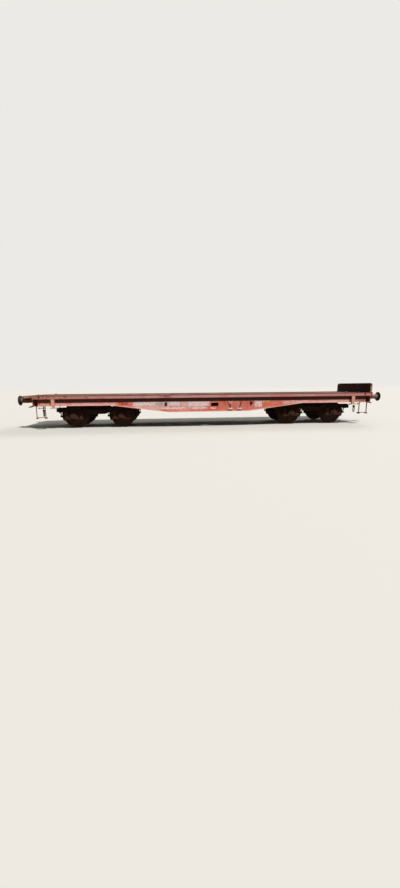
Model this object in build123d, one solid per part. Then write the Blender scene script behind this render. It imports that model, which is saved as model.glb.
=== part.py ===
from build123d import *
import os

# Bogie flat wagon with fish-belly side girders and hinged end boards, in millimetres.
# X runs along the wagon, Y across it, and Z = 0 is the lowest point of the wheel flanges.

# Whole wagon
frame_length = 13120  # over the headstocks
deck_width = 2770  # over the edge rails
pivot_spacing = 8600
wheelbase = 1800
wheel_clearance = 60  # flange to the frame above it

# Wheels and axles
wheel_diameter = 920  # at the tread circle
flange_height = 30
wheel_width = 135
wheels_back_to_back = 1360
flange_thickness = 32
flange_tip = 14
tread_fall = 6
rim_thickness = 58
wheel_web = 24
web_offset = 10  # the web stands this far outside the rim's middle
hub_radius = 132
hub_width = 178
seat_radius = 98
axle_radius = 82
collar_radius = 90
collar_length = 30
collar_slope = 6
journal_radius = 65
journal_length = 190
journal_clearance = 0.3
box_bore_end = 1  # play past the end of the journal

# Axleboxes and springs
box_gap = 9.5  # axle collar to the axlebox
box_width = 216
box_radius = 142
box_foot = 290  # length of the lower body along the wagon
cover_radius = 104
cover_depth = 34
wing_reach = 350  # axle centre to the tip of the spring seat
wing_thickness = 34
wing_drop = 96  # axle centre down to the spring seat
wing_margin = 8
spring_offset = 258
spring_radius = 80
spring_core = 60
spring_turns = 4
spring_gap = 16
spring_height = 222
cap_height = 30
cap_margin = 10

# Bogie frame
side_frame_width = 176
side_frame_web = 22
side_frame_flange = 18
side_frame_depth = 165
side_frame_dip = 96  # the middle lies this much lower than the ends
side_frame_nose = 60
dip_length = 560
dip_margin = 20
side_frame_bend = 120
side_frame_overhang = 620  # beyond the axle centre
guide_thickness = 16
guide_gap = 5
guide_depth = 240
guide_width = 120
transom_length = 330
transom_base_length = 250
transom_depth = 270
bogie_end_thickness = 80
bogie_end_depth = 130
bogie_end_inset = 10
pivot_thickness = 20
pivot_radius = 160
pivot_clearance = 0.3
bowl_radius = 198
bowl_rim_height = 14
bowl_play = 1
bowl_height = 75
bearer_offset = 850
bearer_size = 190
bearer_width = 124
bearer_gap = 5

# Brake shoes
shoe_gap = 8
shoe_thickness = 52
shoe_width = 84
shoe_length = 330
shoe_offset = 8  # outside the middle of the wheel's rim
shoe_drop = 40
shoe_holder = 48
brake_beam_radius = 32
brake_beam_gap = 4
brake_beam_end = 60
hanger_width = 26
hanger_offset = 26
hanger_thickness = 26
hanger_bracket = 60

# Deck and edge rails
plank_thickness = 45
plank_width = 196
plank_gap = 6
plank_end_gap = 3
rail_height = 132
rail_flange = 62
rail_thickness = 10
notch_length = 46
notch_depth = 58
notch_inset = 240  # headstock face to the notch

# Main girders
girder_inset = 97  # edge rail face to the girder web
girder_end_depth = 385  # deck top to the underside, at the ends
girder_belly_depth = 665
belly_half_length = 1575
taper_half_length = 3735
web_thickness = 10
girder_flange = 150
girder_flange_thickness = 14
web_hole_length = 290
web_hole_height = 134
web_hole_drop = 332
web_hole_place = 222
stiffener_thickness = 10

# Frame under the floor
headstock_plate = 12
headstock_flange = 140
headstock_rib = 12
sill_half_width = 200
sill_flange = 78
sill_thickness = 14
draft_box_inset = 900
draft_box_length = 420
draft_box_margin = 25
stringer_depth = 80
stringer_width = 60
stringer_thickness = 8
end_member_depth = 95
belly_member_depth = 160
belly_member_pitch = 1050
outer_member_gap = 450
inner_member_gap = 250
wheel_member_gap = 100
member_flange = 110
member_web = 12
bolster_length = 380
bolster_plate = 12
bolster_inset = 60

# Buffers
buffer_drop = 180  # deck top to the buffer's axis
buffer_length = 650  # headstock to buffer face
buffer_spacing = 1750
buffer_base_width = 350
buffer_base_height = 184
buffer_base_thickness = 18
casing_radius = 90
casing_length = 360
casing_bore = 120
collar_width = 26
collar_rise = 4
plunger_radius = 72
head_diameter = 370
head_thickness = 30
head_dome = 1500  # radius of the buffer's face
head_cone = 70
casing_rib = 14
casing_rib_length = 130

# Draw gear
hook_reach = 300
hook_thickness = 58
hook_shank = 76
hook_mouth = 46
hook_lip = 9
hook_bend = 15
hook_tip_height = 56
hook_root = 200
seat_clearance = 0.3
coupling_bar = 34
coupling_inset = 170
coupling_side = 6
link_length = 200
screw_length = 200
bow_length = 190
screw_radius = 21
nut_height = 56
nut_width = 60
screw_end = 60
screw_lever = 150
screw_weight_radius = 30
screw_weight_length = 64
screw_lever_radius = 13

# End boards
board_inset = 75  # edge rail's face to the end of the board
board_rise = 375  # above the deck
board_thickness = 76
board_skin = 8
board_edge = 14
board_corner = 130
board_rib = 12
board_ribs = 7
board_clearance = 5
board_tube = 10
hinge_drop = 42  # deck top to the hinge axis
lug_width = 60
lug_radius = 28
lug_gap = 10
lug_offset = 480
pin_radius = 14
pin_reach = 40
pin_clearance = 0.5
end_plate = 14
end_plate_gap = 6
end_plate_rise = 20  # above the deck
end_plate_corner = 30
latch_radius = 12
latch_length = 34

# Brackets, steps and handles
bracket_inset = 730  # headstock face to the jacking bracket
bracket_width = 132
bracket_neck = 92
bracket_taper = 40
bracket_drop = 350
bracket_plate = 14
bracket_web = 20
bracket_foot = 230
bracket_foot_inset = 20
bracket_foot_thickness = 40
step_length = 330
step_depth = 220
step_thickness = 8
step_above_rail = 430
step_edge_gap = 20
step_leg_width = 50
step_leg = 12
step_brace = 40
step_inset = 85  # headstock face to the step
handle_radius = 14
handle_reach = 250
handle_width = 330
handle_drop = 125
handle_bend = 40
handle_gap = 40

# Levers and hooks on the girder webs
lever_place = 840
lever_top_drop = 265  # deck top to the top of the grips
lever_height = 270
lever_width = 26
lever_grip = 118
lever_base = 116
lever_base_height = 70
lever_stand = 30
lever_thickness = 14
angled_lever_place = 1205
angled_lever_lean = 70
rope_hook_place = 1670
rope_hook_drop = 365
rope_hook_width = 110
rope_hook_height = 140
rope_hook_plate = 12
rope_hook_horn = 18
rope_hook_tip = 45

# Brake gear under the middle
brake_gear_drop = 210  # underside of the middle members to the cylinder's axis
gear_rail_width = 120
gear_rail_thickness = 14
cylinder_radius = 178
cylinder_length = 460
cylinder_start = 250
cylinder_offset = 300
cylinder_flange = 22
cylinder_flange_thickness = 18
cylinder_hanger = 60
piston_radius = 34
piston_length = 150
reservoir_radius = 165
reservoir_length = 880
reservoir_dome = 60
reservoir_offset = 560
reservoir_hanger = 40
valve_length = 180
valve_width = 190
valve_height = 250
valve_body_height = 150
valve_radius = 66
valve_start = 420
valve_offset = 760
rod_radius = 19
rod_end_gap = 60
rod_offset = 240
lever_bar = 70
lever_bar_thickness = 24
adjuster_radius = 38
adjuster_length = 380
clevis_length = 90
clevis_width = 60
gear_hanger = 16
pipe_radius = 20
pipe_offset = 300
pipe_drop = 45
pipe_clip = 12
cock_length = 120
cock_inset = 20
cock_size = 68

cut_over = 1  # how far a cut runs past what it cuts

# Heights
axle_height = wheel_diameter / 2 + flange_height
wheel_top = wheel_diameter + 2 * flange_height
end_member_base = wheel_top + wheel_clearance
stringer_base = end_member_base + end_member_depth
plank_base = stringer_base + stringer_depth
plank_top = plank_base + plank_thickness
deck_top = plank_top + rail_thickness
member_base = stringer_base - belly_member_depth
sill_base = member_base + bolster_plate
rail_base = deck_top - rail_height
girder_base = deck_top - girder_end_depth
belly_base = deck_top - girder_belly_depth
buffer_axis = deck_top - buffer_drop
hinge_axis = deck_top - hinge_drop
pivot_plane = member_base - pivot_thickness
bowl_base = pivot_plane - bowl_height
spring_seat = axle_height - wing_drop
side_frame_base = spring_seat + spring_height + cap_height
side_frame_top = side_frame_base + side_frame_depth
bogie_end_top = side_frame_top - side_frame_nose
brake_gear_axis = member_base - brake_gear_drop
pipe_axis = member_base - pipe_drop

# Places along the wagon
half_frame = frame_length / 2
frame_inside = half_frame - headstock_plate
girder_end = frame_inside - headstock_flange
half_pivots = pivot_spacing / 2
half_wheelbase = wheelbase / 2
bogie_reach = half_wheelbase + side_frame_overhang
board_face = half_frame + board_clearance
board_axis = board_face + board_thickness / 2

# Places across the wagon
half_deck = deck_width / 2
web_face = half_deck - girder_inset
web_back = web_face - web_thickness
flange_out = web_face - web_thickness / 2 + girder_flange / 2
flange_in = flange_out - girder_flange
stringer_offset = (sill_half_width + web_back) / 2
half_board = half_deck - board_inset
wheel_inside = wheels_back_to_back / 2
wheel_outside = wheel_inside + wheel_width
wheel_middle = (wheel_inside + wheel_outside) / 2
hub_middle = wheel_middle + web_offset
hub_inside = hub_middle - hub_width / 2
hub_outside = hub_middle + hub_width / 2
collar_end = hub_outside + collar_length
half_journals = collar_end + collar_slope + box_gap + box_width / 2
frame_inner_face = half_journals - side_frame_width / 2
shoe_place = wheel_middle + shoe_offset

ENDS = (("a", -1), ("b", 1))
SIDES = (-1, 1)
WHEELSETS = (("1", -1), ("2", 1))

# Cross members on one half of the wagon: place along it, and the underside
cross_member_table = (
    (0, member_base),
    (belly_member_pitch, member_base),
    (2 * belly_member_pitch, member_base),
    (half_pivots - half_wheelbase - inner_member_gap, end_member_base),
    (half_pivots - half_wheelbase + wheel_member_gap, end_member_base),
    (half_pivots + half_wheelbase - wheel_member_gap, end_member_base),
    (half_pivots + half_wheelbase + outer_member_gap, end_member_base),
)
cross_member_places = [(x, base) for x, base in cross_member_table]
cross_member_places += [(-x, base) for x, base in cross_member_table if x]


def block(x, y, z):
    # A box between two values on each axis
    middle = Pos((x[0] + x[1]) / 2, (y[0] + y[1]) / 2, (z[0] + z[1]) / 2)
    return middle * Box(abs(x[1] - x[0]), abs(y[1] - y[0]), abs(z[1] - z[0]))


def around(centre, size):
    # The two ends of a span about its centre
    return (centre - size / 2, centre + size / 2)


def plate_across(points, y):
    # An outline in X and Z, as thick as the span in Y
    outline = Polyline(*[(px, y[0], pz) for px, pz in points], close=True)
    return extrude(make_face(outline), amount=y[1] - y[0], dir=(0, 1, 0))


def plate_along(points, x):
    # An outline in Y and Z, as long as the span in X
    outline = Polyline(*[(x[0], py, pz) for py, pz in points], close=True)
    return extrude(make_face(outline), amount=x[1] - x[0], dir=(1, 0, 0))


def rod(start, end, radius):
    # A round bar from one point to another
    line = Vector(*end) - Vector(*start)
    return extrude(Plane(origin=start, z_dir=line) * Circle(radius), amount=line.length)


def bar(points, radius):
    # A round bar bent at each point
    path = Polyline(*points)
    start = Plane(origin=points[0], z_dir=path % 0)
    return sweep(start * Circle(radius), path=path, transition=Transition.RIGHT)


def turned(points):
    # A body turned about the Y axis, from an outline of places across and radii
    return revolve(make_face(Polyline(*[(0, y, r) for y, r in points], close=True)), axis=Axis.Y)


def both_sides(shapes):
    # The shapes and their mirror images across the wagon's middle
    return list(shapes) + [mirror(shape, about=Plane.XZ) for shape in shapes]


def both_ends(shapes):
    return list(shapes) + [mirror(shape, about=Plane.YZ) for shape in shapes]


def opposite(shapes):
    # The shapes and their copies turned half round, as on the wagon's other side
    return list(shapes) + [Rot(0, 0, 180) * shape for shape in shapes]


def i_section(centre, width, low, high, web, flange):
    # Outline of an I beam: a place on the first axis and a height on the second
    wide = width / 2
    thin = web / 2
    right = [
        (wide, low),
        (wide, low + flange),
        (thin, low + flange),
        (thin, high - flange),
        (wide, high - flange),
        (wide, high),
    ]
    left = [(-offset_, z) for offset_, z in reversed(right)]
    return [(centre + offset_, z) for offset_, z in right + left]


def channel_section(back, tip, low, high, thickness):
    # Outline of a channel whose web stands at back and whose flanges reach to tip
    inside = back + thickness if tip > back else back - thickness
    return [
        (back, low),
        (tip, low),
        (tip, low + thickness),
        (inside, low + thickness),
        (inside, high - thickness),
        (tip, high - thickness),
        (tip, high),
        (back, high),
    ]


def girder_bottom(x):
    # Height of the fish-belly edge at a place along the wagon
    share = (taper_half_length - abs(x)) / (taper_half_length - belly_half_length)
    return girder_base + (belly_base - girder_base) * min(1, max(0, share))


def belly_edge(lift):
    # The girder's lower edge from end to end, raised by the given height
    half = [(girder_end, girder_base + lift), (taper_half_length, girder_base + lift)]
    half.append((belly_half_length, belly_base + lift))
    return [(-x, z) for x, z in half] + half[::-1]


def main_girder():
    length = (-girder_end, girder_end)
    upper_edge = [(girder_end, plank_base), (-girder_end, plank_base)]
    web = plate_across(belly_edge(0) + upper_edge, (web_back, web_face))
    flange_top = (plank_base - girder_flange_thickness, plank_base)
    top_flange = block(length, (flange_in, flange_out), flange_top)
    lower_edge = belly_edge(0) + belly_edge(girder_flange_thickness)[::-1]
    lower_flange = plate_across(lower_edge, (flange_in, flange_out))
    hole_top = deck_top - web_hole_drop
    hole = block(
        around(-web_hole_place, web_hole_length),
        (web_back - cut_over, web_face + cut_over),
        (hole_top - web_hole_height, hole_top),
    )
    girder = web + top_flange + lower_flange - hole
    # Brackets outside the web carry the edge rail, and stiffeners stand inside it
    rail_lip = rail_base + rail_thickness
    bracket = (
        (web_face, flange_top[0]),
        (half_deck - rail_thickness, flange_top[0]),
        (half_deck - rail_thickness, rail_lip),
        (half_deck - rail_flange, rail_lip),
        (web_face, rail_lip - girder_inset),
    )
    for x, base in cross_member_places:
        span = around(x, stiffener_thickness)
        girder += plate_along(bracket, span)
        girder += block(span, (flange_in, web_back), (girder_bottom(x) + girder_flange_thickness / 2, base))
    return girder


def edge_rail():
    outline = channel_section(half_deck, half_deck - rail_flange, rail_base, deck_top, rail_thickness)
    rail = plate_along(outline, (-frame_inside, frame_inside))
    for side in SIDES:
        rail -= block(
            around(side * (half_frame - notch_inset), notch_length),
            (half_deck - rail_thickness - cut_over, half_deck + cut_over),
            around((rail_base + deck_top) / 2, notch_depth),
        )
    return rail


def headstock():
    face = [(half_deck, deck_top), (half_deck, rail_base), (flange_out, girder_base)]
    face += [(-y, z) for y, z in reversed(face)]
    beam = plate_along(face, (frame_inside, half_frame))
    for side in SIDES:
        for z in (plank_base - headstock_plate, girder_base):
            width = (side * sill_half_width, side * flange_out)
            beam += block((girder_end, frame_inside), width, (z, z + headstock_plate))
        for y in around(buffer_spacing / 2, buffer_base_width):
            beam += block(
                (girder_end, frame_inside),
                around(side * y, headstock_rib),
                (girder_base, stringer_base),
            )
        beam -= rod(
            (frame_inside - cut_over, side * pipe_offset, pipe_axis),
            (half_frame + cut_over, side * pipe_offset, pipe_axis),
            pipe_radius,
        )
    beam -= block(
        (frame_inside - cut_over, half_frame + cut_over),
        around(0, hook_thickness + 2 * seat_clearance),
        around(buffer_axis, hook_shank + 2 * seat_clearance),
    )
    return beam


def centre_sill():
    inner = sill_half_width - sill_thickness
    sill = None
    for side in SIDES:
        back, lips = side * sill_half_width, side * (sill_half_width - sill_flange)
        outline = channel_section(back, lips, sill_base, plank_base, sill_thickness)
        channel = plate_along(outline, (-frame_inside, frame_inside))
        sill = channel if sill is None else sill + channel
    for x, base in cross_member_places:
        sill += block(around(x, member_web), (-inner, inner), (sill_base, plank_base))
    draft_box_end = half_frame - draft_box_inset
    for side in SIDES:
        sill += block(
            (side * draft_box_end, side * (draft_box_end + draft_box_length)),
            (-inner, inner),
            (sill_base + draft_box_margin, plank_base - draft_box_margin),
        )
    return sill


def stringers():
    made = []
    for side in SIDES:
        back = side * (stringer_offset + stringer_width / 2)
        tip = side * (stringer_offset - stringer_width / 2)
        outline = channel_section(back, tip, stringer_base, plank_base, stringer_thickness)
        made.append(plate_along(outline, (-girder_end, girder_end)))
    return made


def cross_members():
    made = []
    for x, base in cross_member_places:
        outline = i_section(x, member_flange, base, stringer_base, member_web, member_web)
        member = plate_across(outline, (sill_half_width, web_back))
        made += both_sides([member])
    return made


def bolster(side):
    centre = side * half_pivots
    length = around(centre, bolster_length)
    beam = block(length, (-web_back, web_back), (member_base, sill_base))
    for half in SIDES:
        width = (half * sill_half_width, half * web_back)
        beam += block(length, width, (stringer_base - bolster_plate, stringer_base))
        for x in around(centre, bolster_length - 2 * bolster_inset):
            beam += block(around(x, bolster_plate), width, (member_base, stringer_base))
        beam += block(
            around(centre, bearer_size),
            around(half * bearer_offset, bearer_size),
            (pivot_plane + bearer_gap, member_base),
        )
    plate = (pivot_plane + pivot_clearance, member_base)
    beam += rod((centre, 0, plate[0]), (centre, 0, plate[1]), pivot_radius)
    return beam


def deck_planks():
    length = 2 * frame_inside + plank_gap
    count = round(length / (plank_width + plank_gap))
    pitch = length / count
    reach = half_deck - rail_flange - plank_end_gap
    made = []
    for number in range(count):
        start = number * pitch - frame_inside
        made.append(block((start, start + pitch - plank_gap), (-reach, reach), (plank_base, plank_top)))
    return made


def buffer_casing():
    y = buffer_spacing / 2
    base_end = half_frame + buffer_base_thickness
    casing_end = half_frame + casing_length
    casing = block(
        (half_frame, base_end), around(y, buffer_base_width), around(buffer_axis, buffer_base_height)
    )
    casing += rod((base_end, y, buffer_axis), (casing_end, y, buffer_axis), casing_radius)
    collar_start = casing_end - collar_width
    casing += rod((collar_start, y, buffer_axis), (casing_end, y, buffer_axis), casing_radius + collar_rise)
    # A rib on each side runs out from the casing to the base plate
    for side in SIDES:
        edge = y + side * buffer_base_width / 2
        outline = Polyline(
            (base_end, edge, buffer_axis),
            (base_end, y, buffer_axis),
            (base_end + casing_rib_length, y, buffer_axis),
            (base_end + casing_rib_length, y + side * casing_radius, buffer_axis),
            close=True,
        )
        rib = extrude(make_face(outline), amount=casing_rib, dir=(0, 0, 1))
        casing += Pos(0, 0, -casing_rib / 2) * rib
    bore = (casing_end - casing_bore, casing_end + cut_over)
    casing -= rod((bore[0], y, buffer_axis), (bore[1], y, buffer_axis), plunger_radius)
    return casing


def buffer_head():
    y = buffer_spacing / 2
    face = half_frame + buffer_length
    back = face - head_thickness
    start = half_frame + casing_length - casing_bore
    plunger = rod((start, y, buffer_axis), (back, y, buffer_axis), plunger_radius)
    flare = Pos(back - head_cone / 2, y, buffer_axis) * Rot(0, 90, 0)
    plunger += flare * Cone(plunger_radius, plunger_radius + head_cone, head_cone)
    plate = rod((back, y, buffer_axis), (face, y, buffer_axis), head_diameter / 2)
    plate &= Pos(face - head_dome, y, buffer_axis) * Rot(0, 0, 180) * Sphere(head_dome)
    return plunger + plate


def draw_hook():
    tip = half_frame + hook_reach
    low = buffer_axis - hook_shank / 2
    high = buffer_axis + hook_shank / 2
    throat = tip - 2 * hook_mouth
    points = (
        (half_frame - hook_root, low),
        (tip - hook_mouth, low),
        (tip, low + hook_shank / 2),
        (tip, high + hook_tip_height),
        (tip - hook_mouth + hook_lip, high + hook_tip_height),
        (tip - hook_mouth, high - hook_bend),
        (throat, high - hook_bend),
        (throat - hook_mouth, high),
        (half_frame - hook_root, high),
    )
    outline = make_face(Polyline(*[(x, -hook_thickness / 2, z) for x, z in points], close=True))
    outer = outline.vertices().sort_by(Axis.X)[-4:]
    outline = fillet([v for v in outer if v.Z < high or v.X > tip - cut_over], hook_bend)
    return extrude(outline, amount=hook_thickness, dir=(0, 1, 0))


def screw_coupling():
    x = half_frame + hook_reach - coupling_inset
    top = buffer_axis - hook_shank / 2 - coupling_bar / 2 - seat_clearance
    reach = hook_thickness / 2 + coupling_bar / 2 + coupling_side
    radius = coupling_bar / 2
    upper_nut = top - link_length
    lower_nut = upper_nut - screw_length
    made = rod((x, -reach - radius, top), (x, reach + radius, top), radius)
    for side in SIDES:
        made += rod((x, side * reach, top), (x, side * reach, upper_nut), radius)
    for z in (upper_nut, lower_nut):
        made += block(around(x, nut_width), around(0, 2 * reach + nut_width), around(z, nut_height))
    made += rod((x, 0, upper_nut + screw_end), (x, 0, lower_nut - screw_end), screw_radius)
    # The bow hangs from the lower nut
    bow_low = lower_nut - bow_length
    bow = ((-reach, lower_nut), (-reach, bow_low), (-reach / 2, bow_low - reach))
    bow += tuple((-y, z) for y, z in reversed(bow))
    made += bar([(x, y, z) for y, z in bow], radius)
    middle = (upper_nut + lower_nut) / 2
    made += rod((x, 0, middle), (x + screw_lever, 0, middle), screw_lever_radius)
    weight = (x + screw_lever, x + screw_lever + screw_weight_length)
    made += rod((weight[0], 0, middle), (weight[1], 0, middle), screw_weight_radius)
    return made


def jacking_bracket():
    centre = half_frame - bracket_inset
    bottom = rail_base - bracket_drop
    flange_upper = girder_base + girder_flange_thickness
    inner = flange_in + bracket_foot_inset
    # A web runs down from the edge rail, round the girder's lower flange
    outline = (
        (web_face, rail_base),
        (half_deck, rail_base),
        (half_deck, bottom),
        (inner, bottom),
        (inner, girder_base),
        (flange_out, girder_base),
        (flange_out, flange_upper),
        (web_face, flange_upper),
    )
    bracket = plate_along(outline, around(centre, bracket_web))
    # Its outer plate narrows to a neck above the foot
    half = (
        (bracket_width / 2, rail_base),
        (bracket_width / 2, flange_upper),
        (bracket_neck / 2, flange_upper - bracket_taper),
        (bracket_neck / 2, bottom),
    )
    plate = [(centre + x, z) for x, z in half] + [(centre - x, z) for x, z in reversed(half)]
    bracket += plate_across(plate, (half_deck - bracket_plate, half_deck))
    foot = (bottom, bottom + bracket_foot_thickness)
    bracket += block(around(centre, bracket_foot), (inner, half_deck), foot)
    return bracket


def shunter_step():
    end = half_frame - step_inset
    start = end - step_length
    tread = step_above_rail + flange_height
    outer = half_deck - step_edge_gap
    inner = outer - step_depth
    leg_place = flange_out - girder_flange / 2
    step = block((start, end), (inner, outer), (tread, tread + step_thickness))
    for x in (start, end - step_leg):
        leg = (x, x + step_leg)
        step += block(leg, around(leg_place, step_leg_width), (tread, girder_base))
        step += block(leg, (inner, outer), (tread - step_brace, tread + step_thickness))
    return step


def shunter_handle():
    y = buffer_spacing / 2
    top = buffer_axis - buffer_base_height / 2 - handle_gap
    low = top - handle_drop
    near, far = around(y, handle_width)
    root = half_frame - handle_bend
    reach = half_frame + handle_reach
    handle = bar(
        (
            (root, near, top),
            (reach, near, low),
            (reach + handle_bend, near + handle_bend, low),
            (reach + handle_bend, far - handle_bend, low),
            (reach, far, low),
            (root, far, top),
        ),
        handle_radius,
    )
    # The bar is cut flush with the headstock's face
    behind = (root - handle_bend, half_frame)
    return handle - block(behind, around(y, 2 * handle_width), around(top, 4 * handle_bend))


def end_board():
    # Upright at the +X end
    top = deck_top + board_rise
    wide = half_board
    tube_radius = board_thickness / 2
    face = Plane(origin=(board_face, 0, hinge_axis), x_dir=(0, 1, 0), z_dir=(1, 0, 0))
    tall = top - hinge_axis
    outline = make_face(Polyline((-wide, 0), (wide, 0), (wide, tall), (-wide, tall), close=True))
    outline = fillet(outline.vertices().sort_by(Axis.Y)[-2:], board_corner)
    board = extrude(face * outline, amount=board_thickness)
    # Pressed fields between the ribs, open towards the outside
    field = (hinge_axis + tube_radius, top - board_edge)
    pitch = (2 * (wide - board_edge) + board_rib) / (board_ribs + 1)
    for number in range(board_ribs + 1):
        start = number * pitch + board_edge - wide
        depth = (board_face + board_skin, board_face + board_thickness + cut_over)
        cut = block(depth, (start, start + pitch - board_rib), field)
        if number in (0, board_ribs):
            corner = cut.edges().filter_by(Axis.X).sort_by(Axis.Z)[-2:]
            outer = corner.sort_by(Axis.Y)[0 if number == 0 else -1]
            cut = fillet(outer, board_corner - board_edge)
        board -= cut
    board += rod((board_axis, -wide, hinge_axis), (board_axis, wide, hinge_axis), tube_radius)
    bore = wide + cut_over
    board -= rod((board_axis, -bore, hinge_axis), (board_axis, bore, hinge_axis), tube_radius - board_tube)
    # Solid ends of the tube hold the pins, and notches clear the lugs
    gap = lug_width / 2 + lug_gap
    for side in SIDES:
        for start, end in ((wide - pin_reach, wide), around(lug_offset, 2 * gap + 2 * pin_reach)):
            bush = rod(
                (board_axis, side * start, hinge_axis),
                (board_axis, side * end, hinge_axis),
                tube_radius,
            )
            bush -= rod(
                (board_axis, side * (start - cut_over), hinge_axis),
                (board_axis, side * (end + cut_over), hinge_axis),
                pin_radius + pin_clearance,
            )
            board += bush
        depth = (board_face - cut_over, board_face + board_thickness + cut_over)
        notch = (hinge_axis - board_thickness, hinge_axis + tube_radius + lug_gap)
        board -= block(depth, around(side * lug_offset, 2 * gap), notch)
    return board


def end_board_hinges():
    made = []
    for side in SIDES:
        middle = side * lug_offset
        width = around(middle, lug_width)
        lug = block((half_frame, board_axis), width, around(hinge_axis, 2 * lug_radius))
        lug += rod((board_axis, width[0], hinge_axis), (board_axis, width[1], hinge_axis), lug_radius)
        pin = around(middle, lug_width + 2 * lug_gap + 2 * pin_reach)
        lug += rod((board_axis, pin[0], hinge_axis), (board_axis, pin[1], hinge_axis), pin_radius)
        made.append(lug)
        # The end plate carries the outer pin and the latch bolt
        inner = half_board + end_plate_gap
        outer = inner + end_plate
        rise = deck_top + end_plate_rise
        reach = board_face + board_thickness + end_plate_corner
        low = hinge_axis - lug_radius - end_plate_corner
        profile = (
            (half_frame, low),
            (reach - 2 * end_plate_corner, low),
            (reach, low + 2 * end_plate_corner),
            (reach, rise - end_plate_corner),
            (reach - end_plate_corner, rise),
            (board_face, rise),
            (half_frame, deck_top),
        )
        plate = plate_across(profile, (inner, outer))
        pin_end = inner - end_plate_gap - pin_reach
        plate += rod((board_axis, pin_end, hinge_axis), (board_axis, inner, hinge_axis), pin_radius)
        latch = rise - 2 * end_plate_corner
        plate += rod((board_axis, outer, latch), (board_axis, outer + latch_length, latch), latch_radius)
        made.append(plate if side > 0 else mirror(plate, about=Plane.XZ))
    return made


def rope_hook():
    middle = deck_top - rope_hook_drop
    wide = rope_hook_width / 2
    tall = rope_hook_height / 2
    half = ((wide, tall), (wide, -tall / 3), (wide / 3, -tall))
    outline = list(half) + [(-dx, dz) for dx, dz in reversed(half)]
    points = [(rope_hook_place + dx, middle + dz) for dx, dz in outline]
    plate_face = web_face + rope_hook_plate
    hook = plate_across(points, (web_face, plate_face))
    horn_end = plate_face + 2 * rope_hook_horn
    hook += rod((rope_hook_place, plate_face, middle), (rope_hook_place, horn_end, middle), rope_hook_horn)
    tip_low = (rope_hook_place, horn_end, middle - rope_hook_horn)
    tip_high = (rope_hook_place, horn_end, middle + rope_hook_tip)
    return hook + rod(tip_low, tip_high, rope_hook_horn)


def changeover_levers():
    top = deck_top - lever_top_drop
    grip_base = top - lever_grip
    low = top - lever_height
    stand = (web_face + lever_stand, web_face + lever_stand + lever_thickness)
    made = []
    # Place of the foot, lean towards +X at the top, and whether the grip forks
    for place, lean, forked in ((lever_place, 0, True), (angled_lever_place, angled_lever_lean, False)):
        base_low = low - lever_base_height
        lever = block(around(place, lever_base), (web_face, stand[1]), (base_low, low))
        foot = around(place, lever_width)
        head = around(place + lean, lever_width)
        if forked:
            neck = (foot[0], grip_base), (foot[1], grip_base)
            lever += block(foot, stand, (low, grip_base))
            tip = place - lever_grip / 2
            fork = [neck[0], (place, grip_base), (place, grip_base + lever_width), (tip, top)]
            fork.append((tip - lever_width / 2, top - lever_width / 2))
            prong = plate_across(fork, stand)
            lever += prong
            lever += plate_across([(2 * place - px, pz) for px, pz in reversed(fork)], stand)
        else:
            lever += plate_across(((foot[0], low), (foot[1], low), (head[1], top), (head[0], top)), stand)
        made.append(lever)
    return made


def gear_rail(start, end, y):
    # A flat bar bolted under two of the deep cross members
    return block((start, end), around(y, gear_rail_width), (member_base - gear_rail_thickness, member_base))


def brake_cylinder():
    y = cylinder_offset
    z = brake_gear_axis
    end = cylinder_start + cylinder_length
    body = rod((cylinder_start, y, z), (end, y, z), cylinder_radius)
    for x in (cylinder_start, end - cylinder_flange_thickness):
        body += rod((x, y, z), (x + cylinder_flange_thickness, y, z), cylinder_radius + cylinder_flange)
    body += rod((end, y, z), (end + piston_length, y, z), piston_radius)
    top = member_base - gear_rail_thickness
    for x in (cylinder_start + cylinder_hanger, end - 2 * cylinder_hanger):
        low = z + cylinder_radius - piston_radius
        body += block((x, x + cylinder_hanger), around(y, cylinder_hanger), (low, top))
    return body + gear_rail(-member_flange / 2, belly_member_pitch + member_flange / 2, y)


def air_reservoir():
    y = reservoir_offset
    z = brake_gear_axis
    start = -(belly_member_pitch + reservoir_length) / 2
    end = start + reservoir_length
    shoulders = (start + reservoir_dome, end - reservoir_dome)
    tank = rod((shoulders[0], y, z), (shoulders[1], y, z), reservoir_radius)
    for side, shoulder in zip(SIDES, shoulders):
        dome = Rot(0, side * 90, 0) * Cone(reservoir_radius, reservoir_dome, reservoir_dome)
        tank += Pos(shoulder + side * reservoir_dome / 2, y, z) * dome
    top = member_base - gear_rail_thickness
    for x in (start + reservoir_length / 4, start + 3 * reservoir_length / 4):
        low = z + reservoir_radius / 2
        tank += block(around(x, reservoir_hanger), around(y, gear_rail_width), (low, top))
    return tank + gear_rail(-belly_member_pitch - member_flange / 2, member_flange / 2, y)


def distributor_valve():
    top = member_base - gear_rail_thickness
    length = (valve_start, valve_start + valve_length)
    valve = block(length, around(valve_offset, valve_width), (top - valve_body_height, top))
    middle = sum(length) / 2
    valve += rod((middle, valve_offset, top - valve_height), (middle, valve_offset, top), valve_radius)
    return valve + gear_rail(-member_flange / 2, belly_member_pitch + member_flange / 2, valve_offset)


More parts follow.
